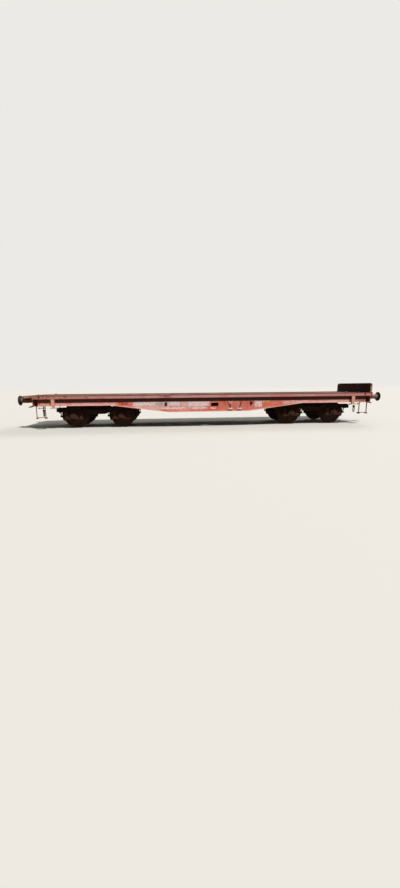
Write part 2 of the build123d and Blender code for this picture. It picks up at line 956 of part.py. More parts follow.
def brake_rigging():
    z = brake_gear_axis
    thick = around(z, lever_bar_thickness)
    front = cylinder_start + cylinder_length + piston_length
    back = cylinder_start - lever_bar
    tie_place = (cylinder_offset - rod_offset) / 2
    reach = half_pivots - bogie_reach - rod_end_gap
    gear = None
    for side, x in ((1, front), (-1, back)):
        bar = (x, x + lever_bar)
        lever = block(bar, (-rod_offset - lever_bar / 2, cylinder_offset + lever_bar / 2), thick)
        gear = lever if gear is None else gear + lever
        middle = sum(bar) / 2
        end = (side * reach, 0, z)
        gear += rod((middle, -rod_offset, z), end, rod_radius)
        clevis = (side * (reach - clevis_length), side * reach)
        gear += block(clevis, around(0, clevis_width), around(z, clevis_width))
        hanger_x = side * 2 * belly_member_pitch
        share = (abs(hanger_x) - abs(middle)) / (reach - abs(middle))
        hanger_y = -rod_offset * (1 - share)
        gear += block(around(hanger_x, gear_hanger), around(hanger_y, 3 * gear_hanger), (z, member_base))
    gear += rod((back + lever_bar / 2, tie_place, z), (front + lever_bar / 2, tie_place, z), rod_radius)
    adjuster = around((front + back + lever_bar) / 2, adjuster_length)
    gear += rod((adjuster[0], tie_place, z), (adjuster[1], tie_place, z), adjuster_radius)
    return gear


def brake_pipe():
    y = -pipe_offset
    z = pipe_axis
    reach = half_frame + cock_length
    pipe = rod((-reach, y, z), (reach, y, z), pipe_radius)
    for side in SIDES:
        cock = (side * (half_frame + cock_inset), side * reach)
        pipe += block(cock, around(y, cock_size), around(z, cock_size))
    clip = pipe_radius + pipe_clip
    for x, base in cross_member_places:
        if base == member_base:
            pipe += block(around(x, 2 * pipe_clip), around(y, 2 * clip), (z - clip, base))
    return pipe


def side_frame():
    # I section whose middle dips between the springs, with the bends rounded
    half_dip = dip_length / 2
    slope = half_wheelbase - spring_offset - spring_radius - cap_margin - dip_margin
    half = (
        (half_dip, side_frame_base - side_frame_dip),
        (slope, side_frame_base),
        (bogie_reach, side_frame_base),
        (bogie_reach, bogie_end_top),
        (bogie_reach - side_frame_nose, side_frame_top),
        (slope, side_frame_top),
        (half_dip, side_frame_top - side_frame_dip),
    )
    points = [(x, z) for x, z in half] + [(-x, z) for x, z in reversed(half)]
    outline = make_face(Polyline(*[(x, frame_inner_face, z) for x, z in points], close=True))
    bends = [v for v in outline.vertices() if abs(v.X) < slope + cut_over]
    outline = fillet(bends, side_frame_bend)
    frame = extrude(outline, amount=side_frame_width, dir=(0, 1, 0))
    pocket_depth = (side_frame_width - side_frame_web) / 2
    pocket = extrude(offset(outline, amount=-side_frame_flange), amount=pocket_depth, dir=(0, 1, 0))
    frame -= pocket
    frame -= Pos(0, side_frame_width - pocket_depth, 0) * pocket
    guide_y = around(half_journals, guide_width)
    cap = (side_frame_base - cap_height, side_frame_base)
    for axle in SIDES:
        for half_side in SIDES:
            centre = axle * half_wheelbase
            guide = centre + half_side * (box_foot / 2 + guide_gap)
            guide_x = (guide, guide + half_side * guide_thickness)
            frame += block(guide_x, guide_y, (side_frame_base - guide_depth, side_frame_base))
            spring_x = centre + half_side * spring_offset
            frame += rod(
                (spring_x, half_journals, cap[0]),
                (spring_x, half_journals, cap[1]),
                spring_radius + cap_margin,
            )
    return frame


# Brake beams stand behind the shoes, one on each side of a wheelset
shoe_face = wheel_diameter / 2 + shoe_gap
beam_offset = shoe_face + shoe_thickness + brake_beam_gap + brake_beam_radius
hanger_place = shoe_place + hanger_offset
inner_hanger_top = bowl_base - transom_depth + hanger_bracket
outer_hanger_top = bogie_end_top - bogie_end_depth


def bogie_frame():
    frame = side_frame()
    frame += mirror(frame, about=Plane.XZ)
    low = bowl_base - transom_depth
    transom = (
        (-transom_base_length / 2, low),
        (transom_base_length / 2, low),
        (transom_length / 2, low + transom_depth / 3),
        (transom_length / 2, bowl_base),
        (-transom_length / 2, bowl_base),
        (-transom_length / 2, low + transom_depth / 3),
    )
    frame += plate_across(transom, (-frame_inner_face, frame_inner_face))
    for side in SIDES:
        end = bogie_reach - bogie_end_inset
        frame += block(
            (side * (end - bogie_end_thickness), side * end),
            (-frame_inner_face, frame_inner_face),
            (bogie_end_top - bogie_end_depth, bogie_end_top),
        )
        for half_side in SIDES:
            frame += block(
                (side * transom_base_length / 2, side * (half_wheelbase - beam_offset + hanger_width)),
                (half_side * hanger_place, half_side * (hanger_place + hanger_thickness)),
                (inner_hanger_top, inner_hanger_top + hanger_bracket),
            )
    return frame


def bogie_bearings():
    rim = pivot_plane + bowl_rim_height
    bowl = rod((0, 0, bowl_base), (0, 0, rim), bowl_radius)
    bowl -= rod((0, 0, pivot_plane), (0, 0, rim + cut_over), pivot_radius + bowl_play)
    made = [bowl]
    for side in SIDES:
        width = around(side * bearer_offset, bearer_width)
        made.append(block(around(0, bearer_size), width, (bowl_base, pivot_plane)))
    return made


def axlebox(axle, side):
    x = axle * half_wheelbase
    y = side * half_journals
    z = axle_height
    inner = y - side * box_width / 2
    outer = y + side * box_width / 2
    box = rod((x, inner, z), (x, outer, z), box_radius)
    box += block(around(x, box_foot), (inner, outer), (spring_seat - wing_thickness, z))
    wing_width = 2 * (spring_radius + wing_margin)
    wing = (spring_seat - wing_thickness, spring_seat)
    box += block(around(x, 2 * wing_reach), around(y, wing_width), wing)
    box += rod((x, outer, z), (x, outer + side * cover_depth, z), cover_radius)
    bore_end = y + side * (journal_length / 2 + box_bore_end)
    box -= rod((x, inner - side * cut_over, z), (x, bore_end, z), journal_radius + journal_clearance)
    return box


def spring(x, y):
    # The coil's turns stand out from its core
    pitch = (spring_height + spring_gap) / spring_turns
    coil = rod((x, y, spring_seat), (x, y, spring_seat + spring_height), spring_radius)
    for number in range(1, spring_turns):
        top = spring_seat + number * pitch
        low = top - spring_gap
        groove = rod((x, y, low), (x, y, top), spring_radius + cut_over)
        coil -= groove - rod((x, y, low), (x, y, top), spring_core)
    return coil


def springs():
    made = []
    for axle in SIDES:
        for half_side in SIDES:
            x = axle * half_wheelbase + half_side * spring_offset
            made += both_sides([spring(x, half_journals)])
    return made


def brake_gear_of_axle(axle, half_side):
    # A beam across the bogie, its two shoes and their hangers
    centre = axle * half_wheelbase
    beam_x = centre + half_side * beam_offset
    beam_z = axle_height - shoe_drop
    top = outer_hanger_top if half_side == axle else inner_hanger_top
    beam_end = shoe_place + brake_beam_end
    gear = rod((beam_x, -beam_end, beam_z), (beam_x, beam_end, beam_z), brake_beam_radius)
    for side in SIDES:
        y = side * shoe_place
        width = around(y, shoe_width)
        outside = shoe_face + shoe_thickness
        over = (width[0] - cut_over, width[1] + cut_over)
        shoe = rod((centre, width[0], axle_height), (centre, width[1], axle_height), outside)
        shoe -= rod((centre, over[0], axle_height), (centre, over[1], axle_height), shoe_face)
        reach = (centre + half_side * shoe_face / 2, centre + half_side * (outside + cut_over))
        shoe &= block(reach, over, around(beam_z, shoe_length))
        gear += shoe
        back = centre + half_side * (shoe_face + shoe_thickness / 2)
        gear += block((back, beam_x), around(y, shoe_holder), around(beam_z, 2 * brake_beam_radius))
        hanger = (side * hanger_place, side * (hanger_place + hanger_thickness))
        gear += block(around(beam_x, hanger_width), hanger, (beam_z, top))
    return gear


def wheel():
    tread = wheel_diameter / 2
    rim = tread - rim_thickness
    web = wheel_web / 2
    return turned(
        (
            (hub_inside, seat_radius),
            (hub_outside, seat_radius),
            (hub_outside, hub_radius),
            (hub_middle + web, hub_radius),
            (hub_middle + web, rim),
            (wheel_outside, rim),
            (wheel_outside, tread - tread_fall),
            (wheel_inside + flange_thickness, tread),
            (wheel_inside + flange_tip, tread + flange_height),
            (wheel_inside, tread + flange_height / 2),
            (wheel_inside, rim),
            (hub_middle - web, rim),
            (hub_middle - web, hub_radius),
            (hub_inside, hub_radius),
        )
    )


def axle():
    half_length = half_journals + journal_length / 2
    half = (
        (half_length, 0),
        (half_length, journal_radius),
        (collar_end + collar_slope, journal_radius),
        (collar_end, collar_radius),
        (hub_outside, collar_radius),
        (hub_outside, seat_radius),
        (hub_inside, seat_radius),
        (hub_inside - hub_width / 4, axle_radius),
    )
    return turned(list(half) + [(-y, r) for y, r in reversed(half)])


def save(name, shapes):
    export_step(Compound(children=list(shapes)), "parts/" + name + ".step")


os.makedirs("parts", exist_ok=True)

save("main_girders", opposite([main_girder()]))
save("edge_rails", both_sides([edge_rail()]))
save("headstocks", both_ends([headstock()]))
save("centre_sill", [centre_sill()])
save("stringers", stringers())
save("cross_members", cross_members())
save("bolsters", [bolster(-1), bolster(1)])
save("deck_planks", deck_planks())
save("buffer_casings", both_ends(both_sides([buffer_casing()])))
save("buffer_heads", both_ends(both_sides([buffer_head()])))
save("draw_hooks", both_ends([draw_hook()]))
save("screw_couplings", opposite([screw_coupling()]))
save("jacking_brackets", both_ends(both_sides([jacking_bracket()])))
save("shunter_steps", both_ends(both_sides([shunter_step()])))
save("shunter_handles", both_ends(both_sides([shunter_handle()])))
save("rope_hooks", both_ends(both_sides([rope_hook()])))
save("changeover_levers", opposite([mirror(lever, about=Plane.XZ) for lever in changeover_levers()]))
save("brake_cylinder", [brake_cylinder()])
save("air_reservoir", [air_reservoir()])
save("distributor_valve", [distributor_valve()])
save("brake_rigging", [brake_rigging()])
save("brake_pipe", [brake_pipe()])
save("end_board_hinges", both_ends(end_board_hinges()))

# One board lies folded outwards over the buffers, the other stands upright
board = end_board()
folded = Pos(board_axis, 0, hinge_axis) * Rot(0, 90, 0) * Pos(-board_axis, 0, -hinge_axis) * board
save("end_board_a", [mirror(folded, about=Plane.YZ)])
save("end_board_b", [board])

for end, side in ENDS:
    place = Pos(side * half_pivots, 0, 0)
    bogie = "bogie_" + end
    save(bogie + "_frame", [place * bogie_frame()])
    save(bogie + "_bearings", [place * bearing for bearing in bogie_bearings()])
    save(bogie + "_axleboxes", [place * axlebox(along, across) for along in SIDES for across in SIDES])
    save(bogie + "_springs", [place * one for one in springs()])
    save(bogie + "_brakes", [place * brake_gear_of_axle(along, half) for along in SIDES for half in SIDES])
    for number, along in WHEELSETS:
        centre = place * Pos(along * half_wheelbase, 0, axle_height)
        save("axle_" + end + number, [centre * axle()])
        save("wheels_" + end + number, [centre * one for one in both_sides([wheel()])])
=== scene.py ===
import math
import random
from functools import partial
import bpy
import bmesh
from mathutils import Matrix, Vector


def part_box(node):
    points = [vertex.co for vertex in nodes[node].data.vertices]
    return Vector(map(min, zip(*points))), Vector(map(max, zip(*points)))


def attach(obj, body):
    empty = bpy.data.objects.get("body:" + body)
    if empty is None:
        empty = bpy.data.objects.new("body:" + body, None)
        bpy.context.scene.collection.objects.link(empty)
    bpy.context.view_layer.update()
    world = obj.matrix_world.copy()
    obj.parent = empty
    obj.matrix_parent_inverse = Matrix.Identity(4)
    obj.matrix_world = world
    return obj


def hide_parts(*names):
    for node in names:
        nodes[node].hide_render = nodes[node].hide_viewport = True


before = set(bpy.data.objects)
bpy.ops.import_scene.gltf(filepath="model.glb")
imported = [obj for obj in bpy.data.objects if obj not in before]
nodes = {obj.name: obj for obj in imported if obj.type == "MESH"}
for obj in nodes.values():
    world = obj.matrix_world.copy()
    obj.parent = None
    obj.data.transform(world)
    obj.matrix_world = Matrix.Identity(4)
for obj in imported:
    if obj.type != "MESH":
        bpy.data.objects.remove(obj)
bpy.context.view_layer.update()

mm = 0.001
sides = (-1, 1)
quarters = [(end, side) for end in sides for side in sides]  # of the wagon or of a piece
randomDraw = random.Random(7)


# Camera, light and floor

view = {
    "place": (-1.499, -13.737, 1.596),  # metres from the wagon's middle, at eye level
    "yaw": 5.19,                        # degrees towards +X
    "pitch": 10.34,                     # degrees down
    "roll": 0.47,                       # degrees, the photograph leans a little
    "lens": 12.97, "sensor": 36,        # mm, along the picture's long side
    "farthest": 500,                    # metres
}


def addCamera(look):
    yaw, pitch, roll = (math.radians(look[name]) for name in ("yaw", "pitch", "roll"))
    turn = (Matrix.Rotation(-yaw, 4, "Z") @ Matrix.Rotation(math.pi / 2 - pitch, 4, "X")
            @ Matrix.Rotation(-roll, 4, "Z"))
    data = bpy.data.cameras.new("camera")
    data.sensor_fit = "VERTICAL"
    data.sensor_height = look["sensor"]
    data.lens = look["lens"]
    data.clip_end = look["farthest"]
    camera = bpy.data.objects.new("camera", data)
    bpy.context.scene.collection.objects.link(camera)
    camera.matrix_world = Matrix.Translation(look["place"]) @ turn
    bpy.context.scene.camera = camera


addCamera(view)
print("camera ready")

light = {
    "lamps": {            # strength, then degrees across, to the right of the near side, and up
        "key": (3.45, 6, 28, 52),
        "back": (0.9, 25, 145, 35),
    },
    "fill": 0.20,         # strength of the even light from all round
    "background": "#eceae6",
    "floor": "#dcd8d0",
    "bounce": "#6e675c",  # what the floor throws back up at the object
    "floorSize": 400,     # metres
    "roughness": 0.9, "gloss": 0.1,  # of the floor
}


def linear(hexColour):
    values = [int(hexColour[i:i + 2], 16) / 255 for i in (1, 3, 5)]
    return [v / 12.92 if v <= 0.04045 else ((v + 0.055) / 1.055) ** 2.4 for v in values] + [1]


def setInputs(tree, node, inputs):
    # An input takes a value, a socket, or a node, which gives its first output in use
    for name, value in inputs.items():
        if isinstance(value, bpy.types.Node):
            value = next(socket for socket in value.outputs if socket.enabled)
        if isinstance(value, bpy.types.NodeSocket):
            tree.links.new(value, node.inputs[name])
        else:
            node.inputs[name].default_value = value


def addNode(tree, kind, inputs=None, **settings):
    node = tree.nodes.new("ShaderNode" + kind)
    for name, value in settings.items():
        setattr(node, name, value)
    setInputs(tree, node, inputs or {})
    return node


def newMaterial(name):
    # Gives the material, a function that adds its nodes, and one that sets its shader's inputs
    material = bpy.data.materials.new(name)
    material.use_nodes = True
    tree = material.node_tree
    return material, partial(addNode, tree), partial(setInputs, tree, tree.nodes["Principled BSDF"])


def finishObject(name, shape, material, smooth=None):
    data = bpy.data.meshes.new(name)
    shape.to_mesh(data)
    shape.free()
    if smooth is not None:
        data.shade_smooth()
        data.set_sharp_from_angle(angle=math.radians(smooth))
    data.materials.append(material)
    piece = bpy.data.objects.new(name, data)
    bpy.context.scene.collection.objects.link(piece)
    return piece


def addLight(look):
    for name, (strength, size, azimuth, elevation) in look["lamps"].items():
        data = bpy.data.lights.new(name, "SUN")
        data.energy = strength
        data.angle = math.radians(size)
        lamp = bpy.data.objects.new(name, data)
        lamp.rotation_euler = (math.radians(90 - elevation), 0, math.radians(azimuth))
        bpy.context.scene.collection.objects.link(lamp)
    world = bpy.data.worlds.new("studio")
    world.use_nodes = True
    world.node_tree.nodes.clear()
    add = partial(addNode, world.node_tree)
    rays = add("LightPath").outputs
    seen = add("Math", {0: rays["Is Camera Ray"], 1: rays["Is Glossy Ray"]}, operation="MAXIMUM")
    seen = add("Math", {0: seen, 1: rays["Is Transmission Ray"]}, operation="MAXIMUM")
    strength = add("MapRange", {"Value": seen, "To Min": look["fill"], "To Max": 1.0})
    glow = add("Background", {"Color": linear(look["background"]), "Strength": strength})
    add("OutputWorld", {"Surface": glow})
    bpy.context.scene.world = world


def addFloor(look):
    material, add, setShader = newMaterial("paleFloor")
    rays = add("LightPath").outputs
    colour = add("Mix", {0: rays["Is Diffuse Ray"], 6: linear(look["floor"]), 7: linear(look["bounce"])},
                 data_type="RGBA")
    setShader({"Base Color": colour, "Roughness": look["roughness"], "Specular IOR Level": look["gloss"]})
    shape = bmesh.new()
    bmesh.ops.create_grid(shape, x_segments=1, y_segments=1, size=look["floorSize"] / 2)
    floor = finishObject("floor", shape, material)


addLight(light)
addFloor(light)
bpy.context.scene.view_settings.view_transform = "Standard"
print("light and floor ready")


# Finishes. Lengths are in metres, colours as sRGB hex. Patch, blotch and grit are the sizes of the patterns,
# streak is how wide and long the rust runs, and roughness is that of the paint and of the rust

weathering = {  # how the layers of every painted finish lie on each other. An edge is where a layer starts
    "noises": (("patch", 4.0, 0.6), ("blotch", 7.0, 0.66), ("grit", 6.0, 0.72)),  # size, detail, roughness
    "fadeShares": (0.55, 0.45),        # patches and blotches
    "fadeEdge": {"From Min": 0.38, "From Max": 0.62},
    "rustShares": (0.38, 0.46, 0.16),  # runs, blotches and grit
    "rustEdge": {"From Min": 0.505, "From Max": 0.545},
    "stainEdge": {"From Min": 0.43, "From Max": 0.52, "To Max": 0.4},     # stained paint round the rust
    "toneShare": 0.5,
    "toneEdge": {"From Min": 0.32, "From Max": 0.66},                     # dark and light rust
    "corner": 0.006,
    "cornerEdge": {"From Min": 0.995, "From Max": 0.86, "To Max": 0.10},  # rust at the corners
    "endRust": 0.12,
    "dustEdge": {"From Min": 0.55, "From Max": 0.95}, "dust": 1.5,
    "bump": 0.6, "gritRelief": 0.8,
    "holeScale": 2.2,  # holes in the painted areas, against the waves of their edges
}
redOxideRail = {  # brushed-on red oxide paint, chalked pink by the sun, rust coming through
    "paint": "#ad584f", "faded": "#cb968f", "rustDark": "#5f3428", "rust": "#a5603f", "dust": "#b59c88",
    "patch": 0.9, "blotch": 0.11, "grit": 0.012, "streak": (0.05, 0.5),
    "fade": 0.62, "rusting": 0.40, "dusting": 0.35, "roughness": (0.62, 0.9), "relief": 0.0012, "gloss": 0.2,
}
redOxideGirder = {  # the same paint under the deck's edge, less bleached and more orange
    "paint": "#cd5b47", "faded": "#da8d7b", "rustDark": "#6b3526", "rust": "#b9704a", "dust": "#dcbcb0",
    "patch": 0.7, "blotch": 0.09, "grit": 0.012, "streak": (0.045, 0.35),
    "fade": 0.48, "rusting": 0.37, "dusting": 0.95, "roughness": (0.6, 0.9), "relief": 0.0012, "gloss": 0.2,
}
redOxideEnds = {  # headstocks and end fittings, knocked about and mostly rust
    "paint": "#9d4c3d", "faded": "#b57a69", "rustDark": "#5a3024", "rust": "#ad6b48", "dust": "#b8937c",
    "patch": 0.5, "blotch": 0.08, "grit": 0.01, "streak": (0.04, 0.3),
    "fade": 0.45, "rusting": 0.55, "dusting": 0.4, "roughness": (0.65, 0.92), "relief": 0.0015, "gloss": 0.2,
}
boardPaintAndShade = {  # pressed sheet end boards, thin old paint, made near black as painted shade
    "paint": "#321a16", "faded": "#432621", "rustDark": "#201311", "rust": "#4e2c20", "dust": "#6a564b",
    "patch": 0.45, "blotch": 0.07, "grit": 0.01, "streak": (0.035, 0.25),
    "fade": 0.4, "rusting": 0.5, "dusting": 0.35, "roughness": (0.6, 0.9), "relief": 0.0012, "gloss": 0.06,
}
sleevePaint = {  # turned tube, its red oxide worn thin and gone grey-brown with dust and grease
    "paint": "#866054", "faded": "#a58378", "rustDark": "#4a3129", "rust": "#7a5243", "dust": "#ac9387",
    "patch": 0.2, "blotch": 0.05, "grit": 0.008, "streak": (0.03, 0.12),
    "fade": 0.5, "rusting": 0.5, "dusting": 0.5, "roughness": (0.55, 0.88), "relief": 0.001, "gloss": 0.25,
}
bracketPaint = {  # red oxide gone to salmon in the sun, the feet hand-painted pale yellow
    "paint": "#c27660", "faded": "#dfaa96", "rustDark": "#7a4330", "rust": "#b96f50", "dust": "#d8b095",
    "patch": 0.2, "blotch": 0.06, "grit": 0.008, "streak": (0.03, 0.12),
    "fade": 0.55, "rusting": 0.42, "dusting": 0.7, "roughness": (0.6, 0.9), "relief": 0.001, "gloss": 0.2,
}
paleGrip = {  # enamel on lever grips and hooks, chipped
    "paint": "#c9bcae", "faded": "#ddd4c6", "rustDark": "#4f3128", "rust": "#7d4a38", "dust": "#c9bcae",
    "patch": 0.1, "blotch": 0.03, "grit": 0.006, "streak": (0.02, 0.1),
    "fade": 0.6, "rusting": 0.42, "dusting": 0.3, "roughness": (0.45, 0.85), "relief": 0.0008, "gloss": 0.3,
}
underframePaint = {  # sprayed underframe paint under years of brake dust
    "paint": "#5d3a32", "faded": "#75564b", "rustDark": "#38231d", "rust": "#6e4030", "dust": "#6b5b50",
    "patch": 0.6, "blotch": 0.08, "grit": 0.01, "streak": (0.05, 0.3),
    "fade": 0.4, "rusting": 0.45, "dusting": 0.6, "roughness": (0.75, 0.95), "relief": 0.0012, "gloss": 0.12,
}
# The bogies' colours are darkened further as painted shade, for they stand in the wagon's shadow
bogieSteel = {  # cast and welded bogie steel, dark paint gone to brown rust and brake dust
    "paint": "#3a2b26", "faded": "#4c3c36", "rustDark": "#2a1c18", "rust": "#563627", "dust": "#6a5b50",
    "patch": 0.3, "blotch": 0.06, "grit": 0.008, "streak": (0.04, 0.2), "fade": 0.4, "rusting": 0.55,
    "dusting": 0.65, "roughness": (0.75, 0.95), "relief": 0.0015, "gloss": 0.12,
}
springSteel = {  # hot-wound spring bar, dry brown rust
    "paint": "#4a342b", "faded": "#5d463c", "rustDark": "#2f1f1a", "rust": "#7a4a33", "dust": "#7c6b5d",
    "patch": 0.1, "blotch": 0.04, "grit": 0.006, "streak": (0.03, 0.1),
    "fade": 0.4, "rusting": 0.6, "dusting": 0.5, "roughness": (0.7, 0.9), "relief": 0.0008, "gloss": 0.15,
}
greasySteel = {  # buffer heads and plungers, old grease over rust
    "paint": "#271a17", "faded": "#382924", "rustDark": "#1b1210", "rust": "#4d2e25", "dust": "#483934",
    "patch": 0.16, "blotch": 0.05, "grit": 0.006, "streak": (0.03, 0.14),
    "fade": 0.45, "rusting": 0.5, "dusting": 0.3, "roughness": (0.5, 0.85), "relief": 0.001, "gloss": 0.2,
}
forgedSteel = {  # draw gear, black forging scale and rust
    "paint": "#3b2b27", "faded": "#4d3c36", "rustDark": "#261a16", "rust": "#64402f", "dust": "#5d4c42",
    "patch": 0.12, "blotch": 0.035, "grit": 0.005, "streak": (0.02, 0.1),
    "fade": 0.4, "rusting": 0.52, "dusting": 0.3, "roughness": (0.55, 0.85), "relief": 0.001, "gloss": 0.2,
}
# The wheels' and axles' colours are darkened further as painted shade, for they stand in the wagon's shadow
rolledSteel = {  # wheels and axles, even brown rust with oil thrown on it
    "paint": "#412b23", "faded": "#533a30", "rustDark": "#2b1c17", "rust": "#63402e", "dust": "#6c5a4c",
    "patch": 0.25, "blotch": 0.05, "grit": 0.006, "streak": (0.06, 0.12),
    "fade": 0.45, "rusting": 0.5, "dusting": 0.3, "roughness": (0.6, 0.9), "relief": 0.0008, "gloss": 0.15,
}

signPaint = {  # areas once painted pale by hand, worn blank: place along and height, then size, in metres
    "pale": "#f1dedb", "fresh": "#a8402f", "ochre": "#d2803f", "grey": "#8fa39c", "dull": "#8f675a",
    "areas": (
        (-2.44, 0.935, 0.95, 0.14, "pale"),
        (-1.93, 0.915, 0.26, 0.09, "grey"),
        (-1.45, 0.93, 0.62, 0.15, "pale"),
        (-0.40, 0.905, 0.82, 0.17, "pale"),
        (-1.41, 0.75, 0.90, 0.055, "pale"),
        (-0.39, 0.745, 0.62, 0.055, "pale"),
        (0.15, 0.725, 0.24, 0.045, "pale"),
        (-3.27, 0.95, 0.34, 0.12, "fresh"),
        (1.96, 0.88, 0.30, 0.24, "pale"),
        (2.28, 0.978, 0.29, 0.035, "pale"),
        (2.33, 0.915, 0.28, 0.11, "ochre"),
        (3.36, 0.983, 0.06, 0.035, "pale"),
        (3.53, 0.981, 0.07, 0.035, "pale"),
        (6.2, 0.93, 0.7, 0.16, "dull"),
    ),
    "wear": 0.09,           # size of the waves in the edges, and about twice that of the worn holes
    "edge": 0.05,           # how far the edges wander
    "soft": 0.005,          # how far the edges fade
    "outside": 1.283,       # metres from the middle, so that only the webs' outer faces are painted
    "cover": 0.92,          # how much of the old paint they hide
    "chips": (0.37, 0.53),  # how much has chipped off, higher for more
}
chalkWash = {  # the red oxide chalked nearly white where the sun reaches under the rail
    "chalk": "#dfbab2",
    "areas": ((-5.05, 0.93, 3.0, 0.12, "chalk"), (4.55, 0.93, 3.2, 0.12, "chalk"),
              (-1.55, 0.86, 2.8, 0.34, "chalk")),
    "wear": 0.3, "edge": 0.08, "soft": 0.045, "outside": 1.283, "cover": 0.92, "chips": (0.18, 0.6),
}
railPaint = {  # fresher and darker stretches of the edge rail, and the rust about the latch notches
    "rose": "#cc6e6d", "orange": "#c4775a", "plum": "#8f4444", "deepRust": "#4a1d18",
    "areas": (
        (5.35, 1.19, 2.3, 0.09, "rose"),
        (3.0, 1.2, 1.1, 0.12, "rose"),
        (-5.2, 1.17, 2.5, 0.07, "orange"),
        (-1.7, 1.2, 0.5, 0.2, "plum"),
        (0.6, 1.19, 0.35, 0.1, "rose"),
        (6.32, 1.2, 0.07, 0.2, "deepRust"),
        (-6.32, 1.2, 0.07, 0.2, "deepRust"),
    ),
    "wear": 0.12, "edge": 0.012, "soft": 0.02, "outside": 0, "cover": 0.75, "chips": (0.35, 0.6),
}
leverPaint = {  # the stems below the pale grips, near black
    "black": "#2b1814",
    "areas": ((0.84, 0.811, 0.3, 0.15, "black"), (1.24, 0.87, 0.3, 0.27, "black")),
    "wear": 0.06, "edge": 0.004, "soft": 0.003, "outside": 0, "cover": 1.0, "chips": (0.2, 0.36),
}
bands = {  # direction, colour, where it starts and where it is full, how uneven its edge is, most it covers
    # Painted shade: a near-black band on the top of the girders' webs, under the rail's overhang, where the
    # sun doesn't reach
    "girderRecessShade": ("Z", "#24110d", 0.99, 1.03, 0.03, 0.9),
    # Painted highlight: a pale band along the outer edges of the girders' lower flanges, where the sun
    # catches them
    "flangeEdgeHighlight": ("Y", "#d6bdb2", 1.345, 1.352, 0.01, 0.8),
    "railTop": ("Z", "#6e2822", 1.238, 1.253, 0.02, 0.88),
    "railFoot": ("Z", "#8e4a42", 1.180, 1.160, 0.02, 0.6),
    # Painted highlight: a pale band on the end boards' ends, where the sun catches them
    "boardEndHighlight": ("Y", "#c49a86", 1.303, 1.306, 0.002, 0.9),
    # Painted shade: a dark band over the buffer casings, which stand in shadow
    "casingShade": ("X", "#47281f", 6.585, 6.68, 0.05, 0.75),
    "footPaint": ("Z", "#ead4b2", 0.86, 0.83, 0.02, 0.9),
}


def insideSpan(add, value, middle, size, soft):
    # One within half the size of the middle, and nothing past it
    away = add("Math", {0: value, 1: middle}, operation="SUBTRACT")
    away = add("Math", {0: away}, operation="ABSOLUTE")
    return add("MapRange", {"Value": away, "From Min": size / 2 + soft, "From Max": size / 2 - soft})


def paintAreas(add, place, colour, look):
    # Each area is a rectangle with wandering edges, on both sides of the wagon
    wander = add("TexNoise", {"Vector": place, "Scale": 1 / look["wear"], "Detail": 3.0})
    shift = add("VectorMath", {0: wander.outputs["Color"], 1: (0.5, 0.5, 0.5)}, operation="SUBTRACT")
    shift = add("VectorMath", {0: shift, "Scale": 2 * look["edge"]}, operation="SCALE")
    moved = add("VectorMath", {0: place, 1: shift}, operation="ADD")
    parts = add("SeparateXYZ", {0: moved}).outputs
    side = add("Math", {0: parts["Y"]}, operation="SIGN")
    along = add("Math", {0: parts["X"], 1: side}, operation="MULTIPLY")
    holes = add("TexNoise", {"Vector": place, "Scale": weathering["holeScale"] / look["wear"], "Detail": 5.0,
                             "Roughness": 0.65})
    worn, whole = look["chips"]
    left = add("MapRange", {"Value": holes, "From Min": worn, "From Max": whole, "To Max": look["cover"]})
    out = add("SeparateXYZ", {0: place}).outputs["Y"]
    out = add("Math", {0: out}, operation="ABSOLUTE")
    out = add("Math", {0: out, 1: look["outside"]}, operation="GREATER_THAN")
    left = add("Math", {0: left, 1: out}, operation="MULTIPLY")
    for middle, height, width, tall, name in look["areas"]:
        inside = add("Math", {0: insideSpan(add, along, -middle, width, look["soft"]),
                              1: insideSpan(add, parts["Z"], height, tall, look["soft"])},
                     operation="MULTIPLY")
        share = add("Math", {0: inside, 1: left}, operation="MULTIPLY")
        colour = add("Mix", {0: share, 6: colour, 7: linear(look[name])}, data_type="RGBA")
    return colour


